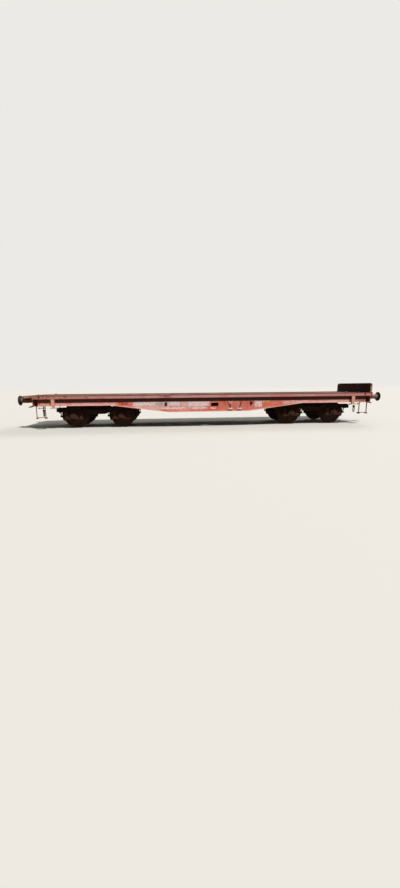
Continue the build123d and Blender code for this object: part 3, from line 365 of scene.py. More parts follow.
def paintedSteel(name, look, signs=(), rustyEnd=None, edges=()):
    # A rusty end is given by the X at which the extra rust is full, and at which it ends
    material, add, setShader = newMaterial(name)
    coordinates = add("TexCoord").outputs
    place = coordinates["Object"]
    parts = add("SeparateXYZ", {0: place}).outputs
    patches, blotches, grit = (
        add("TexNoise", {"Vector": place, "Scale": 1 / look[size], "Detail": detail, "Roughness": roughness})
        for size, detail, roughness in weathering["noises"])
    wide, long = look["streak"]
    stretched = add("Mapping", {"Vector": place, "Scale": (1 / wide, 1 / wide, 1 / long)})
    runs = add("TexNoise", {"Vector": stretched, "Scale": 1.0, "Detail": 4.0})

    # Sun-bleached paint in large patches
    fading = look["fade"] - 0.5
    for pattern, share in zip((patches, blotches), weathering["fadeShares"]):
        fading = add("Math", {0: pattern, 1: share, 2: fading}, operation="MULTIPLY_ADD")
    faded = add("MapRange", {"Value": fading, **weathering["fadeEdge"]})
    paint = add("Mix", {0: faded, 6: linear(look["paint"]), 7: linear(look["faded"])}, data_type="RGBA")
    for areas in signs:
        paint = paintAreas(add, place, paint, areas)

    # Other colours past a height, or past a distance to the side, with an uneven edge
    for band in edges:
        direction, shade, start, full, uneven, most = bands[band]
        distance = add("Math", {0: parts[direction]}, operation="ABSOLUTE")
        distance = add("Math", {0: blotches, 1: uneven, 2: distance}, operation="MULTIPLY_ADD")
        share = add("MapRange", {"Value": distance, "From Min": start, "From Max": full, "To Max": most})
        paint = add("Mix", {0: share, 6: paint, 7: linear(shade)}, data_type="RGBA")

    # Paint goes first at the edges, where the steel's corners are slightly round
    edge = add("Bevel", {"Radius": weathering["corner"]}, samples=4)
    flat = add("NewGeometry").outputs["Normal"]
    turned = add("VectorMath", {0: edge, 1: flat}, operation="DOT_PRODUCT")
    worn = add("MapRange", {"Value": turned, **weathering["cornerEdge"]})

    # Rust breaks through in blotches and runs down in streaks
    rusting = look["rusting"] - 0.5
    for pattern, share in zip((runs, blotches, grit), weathering["rustShares"]):
        rusting = add("Math", {0: pattern, 1: share, 2: rusting}, operation="MULTIPLY_ADD")
    rusting = add("Math", {0: rusting, 1: worn}, operation="ADD")
    if rustyEnd:
        end = add("MapRange", {"Value": parts["X"], "From Min": rustyEnd[0], "From Max": rustyEnd[1],
                               "To Min": weathering["endRust"], "To Max": 0.0})
        rusting = add("Math", {0: rusting, 1: end}, operation="ADD")
    rusted = add("MapRange", {"Value": rusting, **weathering["rustEdge"]})
    stained = add("MapRange", {"Value": rusting, **weathering["stainEdge"]})
    paint = add("Mix", {0: stained, 6: paint, 7: linear(look["rust"])}, data_type="RGBA")
    share = weathering["toneShare"]
    tone = add("Math", {0: patches, 1: share, 2: -share / 2}, operation="MULTIPLY_ADD")
    tone = add("Math", {0: tone, 1: grit}, operation="ADD")
    tone = add("MapRange", {"Value": tone, **weathering["toneEdge"]})
    rust = add("Mix", {0: tone, 6: linear(look["rustDark"]), 7: linear(look["rust"])}, data_type="RGBA")
    colour = add("Mix", {0: rusted, 6: paint, 7: rust}, data_type="RGBA")

    # Dust lies on what faces up
    upward = add("SeparateXYZ", {0: coordinates["Normal"]}).outputs["Z"]
    settled = add("MapRange", {"Value": upward, **weathering["dustEdge"], "To Max": look["dusting"]})
    dusty = add("Math", {0: settled, 1: blotches}, operation="MULTIPLY")
    dusty = add("Math", {0: dusty, 1: weathering["dust"]}, operation="MULTIPLY", use_clamp=True)
    colour = add("Mix", {0: dusty, 6: colour, 7: linear(look["dust"])}, data_type="RGBA")
    smooth, rough = look["roughness"]
    roughness = add("MapRange", {"Value": rusted, "To Min": smooth, "To Max": rough})
    height = add("Math", {0: grit, 1: weathering["gritRelief"], 2: rusted}, operation="MULTIPLY_ADD")
    bump = add("Bump", {"Strength": weathering["bump"], "Distance": look["relief"], "Height": height,
                        "Normal": edge})
    setShader({"Base Color": colour, "Roughness": roughness, "Normal": bump,
               "Specular IOR Level": look["gloss"]})
    return material


timber = {  # pine floor planks, silvered by weather, dark in the grain and at the nails
    "silver": "#7a6556", "brown": "#563d31", "dark": "#2e221c", "moss": "#54503a", "rust": "#4d2c20",
    "grain": 0.006,    # drawn as coarse as it needs to show
    "grainLength": 0.35, "grainEdge": {"From Min": 0.52, "From Max": 0.72, "To Max": 0.7},
    "plankShift": 40,  # metres that the pattern moves from plank to plank
    "stain": 0.5, "plankShare": (0.75, -0.4), "silverEdge": {"From Min": 0.25, "From Max": 0.75},
    "mossScale": 1.1, "mossEdge": {"From Min": 0.58, "From Max": 0.72, "To Max": 0.55},
    "nailLines": (0.165, 0.74, 1.25), "nailSpread": 0.08,
    "bleedScale": 0.12, "bleedEdge": {"From Min": 0.46, "From Max": 0.68, "To Max": 0.8},
    "bump": 0.7, "relief": 0.0015, "roughness": 0.85, "gloss": 0.2,
}


def weatheredPine(look):
    material, add, setShader = newMaterial("weatheredPine")
    place = add("TexCoord").outputs["Object"]
    tint = add("Attribute", attribute_name="tint").outputs["Fac"]
    offset = add("CombineXYZ", {0: tint, 1: tint, 2: tint})
    offset = add("VectorMath", {0: offset, "Scale": look["plankShift"]}, operation="SCALE")
    moved = add("VectorMath", {0: place, 1: offset}, operation="ADD")
    fine = 1 / look["grain"]
    lengthwise = add("Mapping", {"Vector": moved, "Scale": (fine, 1 / look["grainLength"], fine)})
    grain = add("TexNoise", {"Vector": lengthwise, "Scale": 1.0, "Detail": 4.0, "Roughness": 0.55,
                             "Distortion": 0.4})
    stain = add("TexNoise", {"Vector": moved, "Scale": 1 / look["stain"], "Detail": 5.0})
    share, shift = look["plankShare"]
    tone = add("Math", {0: tint, 1: share, 2: shift}, operation="MULTIPLY_ADD")
    tone = add("Math", {0: tone, 1: stain}, operation="ADD")
    silvered = add("MapRange", {"Value": tone, **look["silverEdge"]})
    colour = add("Mix", {0: silvered, 6: linear(look["brown"]), 7: linear(look["silver"])}, data_type="RGBA")
    lines = add("MapRange", {"Value": grain, **look["grainEdge"]})
    colour = add("Mix", {0: lines, 6: colour, 7: linear(look["dark"])}, data_type="RGBA")
    damp = add("TexNoise", {"Vector": place, "Scale": look["mossScale"], "Detail": 6.0})
    damp = add("MapRange", {"Value": damp, **look["mossEdge"]})
    colour = add("Mix", {0: damp, 6: colour, 7: linear(look["moss"])}, data_type="RGBA")
    # Iron stains run along the grain from the bolts
    across = add("SeparateXYZ", {0: place}).outputs["Y"]
    across = add("Math", {0: across}, operation="ABSOLUTE")
    bleeding = add("TexNoise", {"Vector": lengthwise, "Scale": look["bleedScale"], "Detail": 4.0})
    bleeding = add("MapRange", {"Value": bleeding, **look["bleedEdge"]})
    for line in look["nailLines"]:
        near = insideSpan(add, across, line, look["nailSpread"], look["nailSpread"] / 2)
        share = add("Math", {0: near, 1: bleeding}, operation="MULTIPLY")
        colour = add("Mix", {0: share, 6: colour, 7: linear(look["rust"])}, data_type="RGBA")
    bump = add("Bump", {"Strength": look["bump"], "Distance": look["relief"], "Height": grain})
    setShader({"Base Color": colour, "Normal": bump, "Roughness": look["roughness"],
               "Specular IOR Level": look["gloss"]})
    return material


finishes = {
    "rail": paintedSteel("redOxideRail", redOxideRail, (railPaint,), (-6.5, -3.5), ("railTop", "railFoot")),
    # The girders carry painted shade under the rail's overhang and a painted highlight along their flanges'
    # outer edges
    "girder": paintedSteel("redOxideGirder", redOxideGirder, (chalkWash, signPaint), (-6.5, -4.5),
                           ("girderRecessShade", "flangeEdgeHighlight")),
    "ends": paintedSteel("redOxideEnds", redOxideEnds),
    # The buffer casings' paint, darkened by painted shade
    "casing": paintedSteel("casingPaintAndShade", redOxideEnds, edges=["casingShade"]),
    # The end boards' paint is made near black as painted shade, with a painted highlight on their ends
    "board": paintedSteel("boardPaintAndShade", boardPaintAndShade, edges=["boardEndHighlight"]),
    "sleeve": paintedSteel("sleevePaint", sleevePaint),
    "bracket": paintedSteel("bracketPaint", bracketPaint, edges=["footPaint"]),
    "grip": paintedSteel("paleGrip", paleGrip, (leverPaint,)),
    "under": paintedSteel("underframePaint", underframePaint),
    "bogie": paintedSteel("bogieSteel", bogieSteel),
    "spring": paintedSteel("springSteel", springSteel),
    "grease": paintedSteel("greasySteel", greasySteel),
    "forged": paintedSteel("forgedSteel", forgedSteel),
    "rolled": paintedSteel("rolledSteel", rolledSteel),
    "pine": weatheredPine(timber),
}
print("materials ready")

wornBy = {  # which nodes wear each finish
    "girder": ["main_girders"], "rail": ["edge_rails"], "pine": ["deck_planks"],
    "bracket": ["jacking_brackets"], "casing": ["buffer_casings"], "grease": ["buffer_heads"],
    "grip": ["changeover_levers"],
    "ends": ["headstocks", "shunter_steps", "shunter_handles", "end_board_hinges"],
    "forged": ["draw_hooks", "screw_couplings", "rope_hooks"],
    "under": ["centre_sill", "stringers", "cross_members", "bolsters", "brake_cylinder", "air_reservoir",
              "distributor_valve", "brake_rigging", "brake_pipe"],
    "board": ["end_board_a", "end_board_b"],
    "spring": ["bogie_a_springs", "bogie_b_springs"],
    "bogie": ["bogie_" + part for part in ("a_frame", "a_bearings", "a_axleboxes", "a_brakes",
                                           "b_frame", "b_bearings", "b_axleboxes", "b_brakes")],
    "rolled": [kind + place for kind in ("wheels_", "axle_") for place in ("a1", "a2", "b1", "b2")],
}
for finish, names in wornBy.items():
    for name in names:
        for slot in nodes[name].material_slots:
            slot.material = finishes[finish]


# Shapes that several pieces share. In the dictionaries a bolt is given by its radius and depth, and a disc
# by its radius, depth and eased edge

def middleOf(corners):
    low, high = corners
    return (low + high) / 2


def frameAt(place, towards):
    return Matrix.Translation(place) @ Vector(towards).to_track_quat("Z", "Y").to_matrix().to_4x4()


def drawOn(shape, edges, step):
    drawn = bmesh.ops.extrude_edge_only(shape, edges=edges)["geom"]
    corners = [item for item in drawn if isinstance(item, bmesh.types.BMVert)]
    bmesh.ops.translate(shape, verts=corners, vec=step)
    fresh = set(corners)
    return [item for item in drawn if isinstance(item, bmesh.types.BMEdge) and fresh.issuperset(item.verts)]


def spinOn(shape, edges, centre, axis, angle, steps, rise=0):
    # Carries a loop of edges round an axis, and gives the loop where it ends
    corners = list({vert for edge in edges for vert in edge.verts})
    spun = bmesh.ops.spin(shape, geom=edges + corners, cent=centre, axis=axis, angle=angle, steps=steps,
                          dvec=(0, 0, rise / steps))
    return [item for item in spun["geom_last"] if isinstance(item, bmesh.types.BMEdge)]


def addRing(shape, place, towards, radius, sides):
    ring = bmesh.ops.create_circle(shape, cap_ends=True, segments=sides, radius=radius,
                                   matrix=frameAt(place, towards))["verts"]
    return list({edge for corner in ring for edge in corner.link_edges})


def addBar(shape, route, radius, bend, sides=10, steps=6):
    # A round bar along straight runs, its corners bent to a radius
    route = [Vector(point) for point in route]
    edges = addRing(shape, route[0], route[1] - route[0], radius, sides)
    here = route[0]
    for corner, following in zip(route[1:-1], route[2:]):
        arriving, leaving = (corner - here).normalized(), (following - corner).normalized()
        angle = arriving.angle(leaving)
        short = bend * math.tan(angle / 2)
        edges = drawOn(shape, edges, corner - arriving * short - here)
        axis = arriving.cross(leaving).normalized()
        centre = corner - arriving * short + axis.cross(arriving) * bend
        edges = spinOn(shape, edges, centre, axis, angle, steps)
        here = corner + leaving * short
    edges = drawOn(shape, edges, route[-1] - here)
    bmesh.ops.edgeloop_fill(shape, edges=edges)


def bevelEdges(shape, edges, offset):
    return bmesh.ops.bevel(shape, geom=edges, offset=offset, segments=2, profile=0.5, affect="EDGES",
                           material=-1)["verts"]


def addBlock(shape, start, end, edge):
    # A block between any two opposite corners, its edges eased
    start, end = Vector(start), Vector(end)
    size = Matrix.Diagonal((*(abs(step) for step in end - start), 1))
    corners = bmesh.ops.create_cube(shape, size=1,
                                    matrix=Matrix.Translation((start + end) / 2) @ size)["verts"]
    return bevelEdges(shape, list({link for corner in corners for link in corner.link_edges}), edge)


def addDisc(shape, place, towards, radius, depth, edge, sides=24):
    # A short cylinder that stands on a face, with its outer edge eased
    place, towards = Vector(place), Vector(towards)
    made = bmesh.ops.create_cone(shape, cap_ends=True, segments=sides, radius1=radius, radius2=radius,
                                 depth=depth, matrix=frameAt(place + towards * depth / 2, towards))
    outer = {vert for vert in made["verts"] if (vert.co - place).dot(towards) > depth / 2}
    bevelEdges(shape, [link for link in {link for vert in outer for link in vert.link_edges}
                       if outer.issuperset(link.verts)], edge)


boltParts = ((12, 1.35, 1.35, 0, 0.2), (6, 1, 0.94, 0.2, 1))  # corners, then radii and heights as shares


def addBolt(shape, place, towards, radius, depth):
    # A hexagon head on a thin washer
    place, towards = Vector(place), Vector(towards)
    for corners, foot, top, start, end in boltParts:
        start, tall = start * depth, (end - start) * depth
        bmesh.ops.create_cone(shape, cap_ends=True, segments=corners, radius1=foot * radius,
                              radius2=top * radius, depth=tall,
                              matrix=frameAt(place + towards * (start + tall / 2), towards))


def addTurned(shape, place, towards, profile, steps=36):
    # A round form from a closed half section of (along the axis, radius) points
    turn = frameAt(place, towards)
    corners = [shape.verts.new(turn @ Vector((radius, 0, along))) for along, radius in profile]
    edges = [shape.edges.new(pair) for pair in zip(corners, corners[1:] + corners[:1])]
    bmesh.ops.spin(shape, geom=corners + edges, cent=place, axis=towards, angle=2 * math.pi, steps=steps,
                   use_merge=True)


def ringOf(count, radius, start=0.5):
    # Steps from the middle to points round a circle, in two directions
    turns = [2 * math.pi * (number + start) / count for number in range(count)]
    return [(radius * math.cos(turn), radius * math.sin(turn)) for turn in turns]


def template(add, *values, **settings):
    # A small shape made once, to be stamped in many places
    shape = bmesh.new()
    add(shape, *values, **settings)
    bmesh.ops.recalc_face_normals(shape, faces=shape.faces)
    data = bpy.data.meshes.new("template")
    shape.to_mesh(data)
    shape.free()
    return data


def stamp(shape, data, place, turn=0):
    # The turn is in radians about the upright
    copy = data.copy()
    copy.transform(Matrix.Translation(place) @ Matrix.Rotation(turn, 4, "Z"))
    shape.from_mesh(copy)
    bpy.data.meshes.remove(copy)


def keepPiece(name, shape, finish, body, smooth=35, replaced=()):
    bmesh.ops.recalc_face_normals(shape, faces=shape.faces)
    piece = finishObject(name, shape, finishes[finish], smooth)
    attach(piece, body)
    if replaced:
        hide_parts(*replaced)


# Floor planks, each a little different, and the bolts that hold them

planks = {
    "count": 65, "gap": 6 * mm, "thickness": 45 * mm,
    "edge": 4 * mm,      # rounding of the worn edges
    "sink": 4 * mm,      # how much lower a plank may lie
    "ragged": 5 * mm,    # how much shorter at each end
    "boltLines": (0.165, 0.74, 1.25),  # metres from the middle: sill, stringer, girder
    "bolt": (15 * mm, 9 * mm, 4 * mm),  # radius at the foot and top, and height
    "boltWander": 12 * mm,
}


def addPlanks(look):
    low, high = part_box("deck_planks")
    pitch = (high.x - low.x + look["gap"]) / look["count"]
    foot, head, height = look["bolt"]
    bolt = template(bmesh.ops.create_cone, cap_ends=True, segments=8, radius1=foot, radius2=head,
                    depth=height)
    shape, bolts = bmesh.new(), bmesh.new()
    tint = shape.faces.layers.float.new("tint")
    for number in range(look["count"]):
        width = pitch - look["gap"]
        near = low.y + randomDraw.uniform(0, look["ragged"])
        far = high.y - randomDraw.uniform(0, look["ragged"])
        top = high.z - randomDraw.uniform(0, look["sink"])
        start = low.x + number * pitch
        worn = addBlock(shape, (start, near, top - look["thickness"] + look["sink"]),
                        (start + width, far, top), look["edge"])
        value = randomDraw.random()
        for face in {face for corner in worn for face in corner.link_faces}:
            face[tint] = value
        for side in sides:
            for line in look["boltLines"]:
                along = start + width / 2 + randomDraw.uniform(-1, 1) * look["boltWander"]
                stamp(bolts, bolt, (along, side * line, top + height / 2))
    keepPiece("floorPlanks", shape, "pine", "root", None, ["deck_planks"])
    keepPiece("floorBolts", bolts, "forged", "root")


addPlanks(planks)
print("planks ready")


# Coil springs, an outer and an inner one on each seat

coils = {
    "along": 0.258, "across": 1.0,  # metres from the axle and from the bogie's middle
    "springs": ((79 * mm, 13.5 * mm, 3.4), (44 * mm, 8 * mm, 6.0)),  # radius, radius of the bar, turns
    "closed": 0.8, "closedPitch": 2.05,  # closed turns at each end, and their rise in radii of the bar
    "steps": 22, "sides": 10,            # steps a turn, sides of the bar
}


def addCoils(shape, height, look):
    for radius, bar, turns in look["springs"]:
        edges = addRing(shape, (radius - bar, 0, bar), (0, 1, 0), bar, look["sides"])
        closed = (look["closed"], look["closed"] * look["closedPitch"] * bar)
        for share, rise in (closed, (turns, height - 2 * bar - 2 * closed[1]), closed):
            edges = spinOn(shape, edges, (0, 0, 0), (0, 0, 1), share * 2 * math.pi,
                           round(share * look["steps"]), rise)
        bmesh.ops.edgeloop_fill(shape, edges=edges)


def addSprings(look):
    low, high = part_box("bogie_a_springs")
    pair = template(addCoils, high.z - low.z, look)
    for letter in "ab":
        shape = bmesh.new()
        for number in "12":
            axle = middleOf(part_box("axle_" + letter + number)).x
            for alongSide, side in quarters:
                place = (axle + alongSide * look["along"], side * look["across"], low.z)
                stamp(shape, pair, place, randomDraw.uniform(0, 2 * math.pi))
        keepPiece("coilSprings_" + letter, shape, "spring", "bogie_" + letter, 60,
                  ["bogie_" + letter + "_springs"])


addSprings(coils)
print("springs ready")


# Shunters' handles, bent from round bar and bolted to the headstocks

handles = {
    "spread": 0.165, "bar": 14 * mm, "bend": 55 * mm,
    "foot": (32 * mm, 8 * mm, 2 * mm),
    "buffer": 0.875,  # metres from the middle to the buffers
}


def addHandles(look):
    low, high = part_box("shunter_handles")
    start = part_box("headstocks")[1].x
    bar = look["bar"]
    top, bottom, reach = high.z - bar, low.z + bar, high.x - bar
    shape = bmesh.new()
    for end, side in quarters:
        near, far = (side * look["buffer"] + shift * look["spread"] for shift in sides)
        addBar(shape, [(end * start, near, top), (end * reach, near, bottom), (end * reach, far, bottom),
                       (end * start, far, top)], bar, look["bend"])
        for across in (near, far):
            addDisc(shape, (end * start, across, top), (end, 0, 0), *look["foot"])
    keepPiece("shunterHandles", shape, "ends", "root", 50, ["shunter_handles"])


addHandles(handles)
print("handles ready")


# Screw couplings: shackle, nuts on trunnions, two-handed thread, bow and weighted lever

coupling = {
    "place": 6.69, "pin": 1.035, "reach": 52 * mm, "bar": 17 * mm,
    "shackleBend": 20 * mm, "bowFlat": 0.5 * mm,  # bend at the pin, and half the bow's straight foot
    "nuts": (0.835, 0.635), "nut": (30 * mm, 44 * mm, 27 * mm), "nutEdge": 6 * mm,
    "trunnion": 82 * mm, "trunnionBar": 19 * mm,
    "eye": (30 * mm, 30 * mm, 4 * mm), "eyeSunk": 15.3 * mm,  # how far it stands in the shackle's bar
    "core": 17 * mm, "thread": 21 * mm, "pitch": 9 * mm, "threadSteps": 12,
    "ridge": 0.8, "ridgeSunk": 1 * mm, "threadShort": 4 * mm, "screwEnd": 60 * mm,
    "bowFoot": 0.393, "lever": 0.15, "leverBar": 12 * mm, "weight": 30 * mm, "weightLength": 64 * mm,
    "hub": (30 * mm, 44 * mm, 3 * mm),
}


def addThread(shape, x, low, high, look):
    # One triangular ridge wound round the core
    half = look["ridge"] * look["pitch"] / 2
    foot = look["core"] - look["ridgeSunk"]
    ridge = [shape.verts.new((x + out, 0, low + up)) for out, up in
             ((foot, -half), (look["thread"], 0), (foot, half))]
    face = shape.faces.new(ridge)
    turns = (high - low) / look["pitch"]
    edges = spinOn(shape, list(face.edges), (x, 0, low), (0, 0, 1), turns * 2 * math.pi,
                   round(turns * look["threadSteps"]), high - low)
    bmesh.ops.edgeloop_fill(shape, edges=edges)


def addCoupling(shape, look):
    x, reach, bar = look["place"], look["reach"], look["bar"]
    upper, lower = look["nuts"]
    for nut, turn, bend, steps in ((upper, look["pin"], look["shackleBend"], 6),
                                   (lower, look["bowFoot"], reach - look["bowFlat"], 10)):
        addBar(shape, [(x, -reach, nut), (x, -reach, turn), (x, reach, turn), (x, reach, nut)], bar, bend,
               steps=steps)
    for height in look["nuts"]:
        middle, half = Vector((x, 0, height)), Vector(look["nut"])
        addBlock(shape, middle - half, middle + half, look["nutEdge"])
        addBar(shape, [(x, side * look["trunnion"], height) for side in sides], look["trunnionBar"], 0)
        for side in sides:
            addDisc(shape, (x, side * (reach - look["eyeSunk"]), height), (0, side, 0), *look["eye"])
    top, bottom, middle = upper + look["screwEnd"], lower - look["screwEnd"], (upper + lower) / 2
    addBar(shape, [(x, 0, bottom), (x, 0, top)], look["core"], 0, sides=16)
    addThread(shape, x, bottom + look["threadShort"], middle, look)
    addThread(shape, x, middle, top - look["threadShort"], look)
    addDisc(shape, (x, 0, middle - look["hub"][1] / 2), (0, 0, 1), *look["hub"])
    addBar(shape, [(x, 0, middle), (x + look["lever"], 0, middle)], look["leverBar"], 0)
    half = look["weightLength"] / 2
    weight = Matrix.Translation((x + look["lever"] + half, 0, middle))
    weight = weight @ Matrix.Diagonal((half, look["weight"], look["weight"], 1))
    bmesh.ops.create_icosphere(shape, subdivisions=3, radius=1, matrix=weight)


def addCouplings(look):
    one = template(addCoupling, look)
    shape = bmesh.new()
    for turn in (0, math.pi):
        stamp(shape, one, (0, 0, 0), turn)
    keepPiece("screwCouplings", shape, "forged", "root", 40, ["screw_couplings"])


addCouplings(coupling)
print("couplings ready")


# Bolts and small fittings, one joined mesh for each body they ride on

fittings = {
    "bolt": (13 * mm, 11 * mm),
    "bufferSpread": (0.145, 0.062), "bufferBase": 6.578,     # metres, the face of the buffers' base plates
    "hookPlate": (0.15, 0.13), "hookPlateDepth": 12 * mm, "hookPlateEdge": 2 * mm,
    "shank": 32 * mm,      # from the middle to the plates
    "plateBolt": 38 * mm,  # from the plates' outer edges to the bolts
    "coverFace": 1.142, "coverDisc": (52 * mm, 6 * mm, 3 * mm),
    "coverBolts": (4, 86 * mm), "coverBolt": (11 * mm, 9 * mm),
}


def addEndFittings(look):
    shape = bmesh.new()
    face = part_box("headstocks")[1].x
    plate = face + look["hookPlateDepth"]
    axis = middleOf(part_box("buffer_casings")).z
    wide, tall = look["bufferSpread"]
    plateWide, plateTall = look["hookPlate"]
    for end, side in quarters:
        for across, up in quarters:
            place = (end * look["bufferBase"], side * handles["buffer"] + across * wide, axis + up * tall)
            addBolt(shape, place, (end, 0, 0), *look["bolt"])
        # The plates that take the pull of the hook, one each side of its shank
        addBlock(shape, (end * face, side * look["shank"], axis - plateTall / 2),
                 (end * plate, side * plateWide, axis + plateTall / 2), look["hookPlateEdge"])
        for up in sides:
            place = (end * plate, side * (plateWide - look["plateBolt"]), axis + up * look["plateBolt"])
            addBolt(shape, place, (end, 0, 0), *look["bolt"])
    keepPiece("endFittings", shape, "ends", "root")


def addCoverBolts(look):
    for letter in "ab":
        shape = bmesh.new()
        for number in "12":
            middle = middleOf(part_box("axle_" + letter + number))
            for side in sides:
                face = side * look["coverFace"]
                addDisc(shape, (middle.x, face, middle.z), (0, side, 0), *look["coverDisc"])
                for along, up in ringOf(*look["coverBolts"]):
                    addBolt(shape, (middle.x + along, face, middle.z + up), (0, side, 0), *look["coverBolt"])
        keepPiece("axleboxBolts_" + letter, shape, "bogie", "bogie_" + letter)


addEndFittings(fittings)
addCoverBolts(fittings)
print("fittings ready")


# Buffer sleeves, which cover the plungers from the casings' collars to the heads

sleeves = {
    "start": 6.921, "end": 7.130, "radius": 92 * mm, "bore": 75 * mm,
    "lip": 94.5 * mm, "lipWidth": 24 * mm, "round": 2 * mm,
    "seam": 7.06, "seamRise": 2 * mm,  # a weld bead near the head
}


def addSleeves(look):
    long, width = look["end"] - look["start"], look["lipWidth"]
    seam, ease = look["seam"] - look["start"], look["round"]
    bore, radius, lip = look["bore"], look["radius"], look["lip"]
    profile = ((0, bore), (0, lip - ease), (ease, lip), (width - ease, lip), (width, lip - ease),
               (width + ease, radius), (seam - 2 * ease, radius), (seam, radius + look["seamRise"]),
               (seam + 2 * ease, radius), (long, radius), (long, bore))
    height = middleOf(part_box("buffer_casings")).z
    shape = bmesh.new()
    for end, side in quarters:
        addTurned(shape, (end * look["start"], side * handles["buffer"], height), (end, 0, 0), profile)
    keepPiece("bufferSleeves", shape, "sleeve", "root")


addSleeves(sleeves)
print("sleeves ready")


# Changeover levers: the flat bars they turn on, with their pivots

levers = {
    "places": (0.84, 1.205), "bar": (0.208, 0.036), "barHeight": 0.69, "barEdge": 3 * mm, "stand": 1.332,
    "thickness": 13 * mm, "pivot": (26 * mm, 12 * mm, 3 * mm), "bolt": (9 * mm, 8 * mm), "boltPlace": 0.082,
}


def addLeverBars(look):
    shape = bmesh.new()
    wide, tall = look["bar"]
    height = look["barHeight"]
    for side in sides:
        for place in look["places"]:
            x, face = -side * place, side * (look["stand"] + look["thickness"])
            addBlock(shape, (x - wide / 2, side * look["stand"], height - tall / 2),
                     (x + wide / 2, face, height + tall / 2), look["barEdge"])
            addDisc(shape, (x, face, height), (0, side, 0), *look["pivot"])
            for step in sides:
                addBolt(shape, (x + step * look["boltPlace"], face, height), (0, side, 0), *look["bolt"])
    keepPiece("leverBars", shape, "grip", "root")


addLeverBars(levers)
print("levers ready")


# Steps: ears under the girder's flange, and raised studs on the treads

stepFittings = {
    "start": 6.145, "end": 6.475, "leg": 12 * mm, "legPlace": 1.283, "legWidth": 50 * mm,
    "ear": 46 * mm, "earThickness": 9 * mm, "earEdge": 2 * mm, "girderBase": 0.885,
    "bolt": (9 * mm, 9 * mm), "boltSpread": 13 * mm,
    "tread": 0.468, "treadInner": 1.145, "treadOuter": 1.365,
    "stud": (7 * mm, 3 * mm, 1 * mm), "studs": (7, 4), "stagger": 0.25,
}


def addStepFittings(look):
    stud = template(addDisc, (0, 0, 0), (0, 0, 1), *look["stud"], sides=10)
    shape = bmesh.new()
    start, end, width = look["start"], look["end"], look["legWidth"]
    top, low = look["girderBase"], look["girderBase"] - look["earThickness"]
    alongStuds, acrossStuds = look["studs"]
    for which, side in quarters:
        across = side * look["legPlace"]
        for leg, ear in ((start + look["leg"], look["ear"]), (end - look["leg"], -look["ear"])):
            addBlock(shape, (which * leg, across - width / 2, low),
                     (which * (leg + ear), across + width / 2, top), look["earEdge"])
            for shift in sides:
                place = (which * (leg + ear / 2), across + shift * look["boltSpread"], low)
                addBolt(shape, place, (0, 0, -1), *look["bolt"])
        for i in range(alongStuds):
            for j in range(acrossStuds):
                share = (i + 0.5 + look["stagger"] * (j % 2)) / (alongStuds + look["stagger"])
                y = look["treadInner"] + (j + 0.5) / acrossStuds * (look["treadOuter"] - look["treadInner"])
                stamp(shape, stud, (which * (start + share * (end - start)), side * y, look["tread"]))
    keepPiece("stepFittings", shape, "ends", "root")


addStepFittings(stepFittings)
print("steps ready")


# Bolts of the rope hooks, nuts on the end boards' hinge pins, and handles that turn the latch bolts

sideBolts = {
    "hook": (1.67, 1.3, 0.905), "hookBolt": (9 * mm, 8 * mm),
    "hookBolts": ((-0.036, 0.048), (0.036, 0.048), (-0.036, -0.012), (0.036, -0.012)),
    "pin": (6.603, 1.330, 1.183), "pinNut": (13 * mm, 12 * mm),
    "latch": (6.603, 1.364, 1.23), "latchRoute": ((0, 0), (18 * mm, -0.05), (18 * mm, -0.12)),
    "latchBar": 7 * mm, "latchBend": 20 * mm,
}


def addSideBolts(look):
    shape = bmesh.new()
    for end, side in quarters:
        x, y, z = look["hook"]
        for along, up in look["hookBolts"]:
            addBolt(shape, (end * x + along, side * y, z + up), (0, side, 0), *look["hookBolt"])
        x, y, z = look["pin"]
        addBolt(shape, (end * x, side * y, z), (0, side, 0), *look["pinNut"])
        x, y, z = look["latch"]
        addBar(shape, [(end * (x + along), side * (y - look["latchBar"]), z + up)
                       for along, up in look["latchRoute"]], look["latchBar"], look["latchBend"])
    keepPiece("sideBolts", shape, "forged", "root")


addSideBolts(sideBolts)
print("side bolts ready")


# Air brake: flange bolts, tank bands, pipes between the valve, tank and cylinder, angle cocks

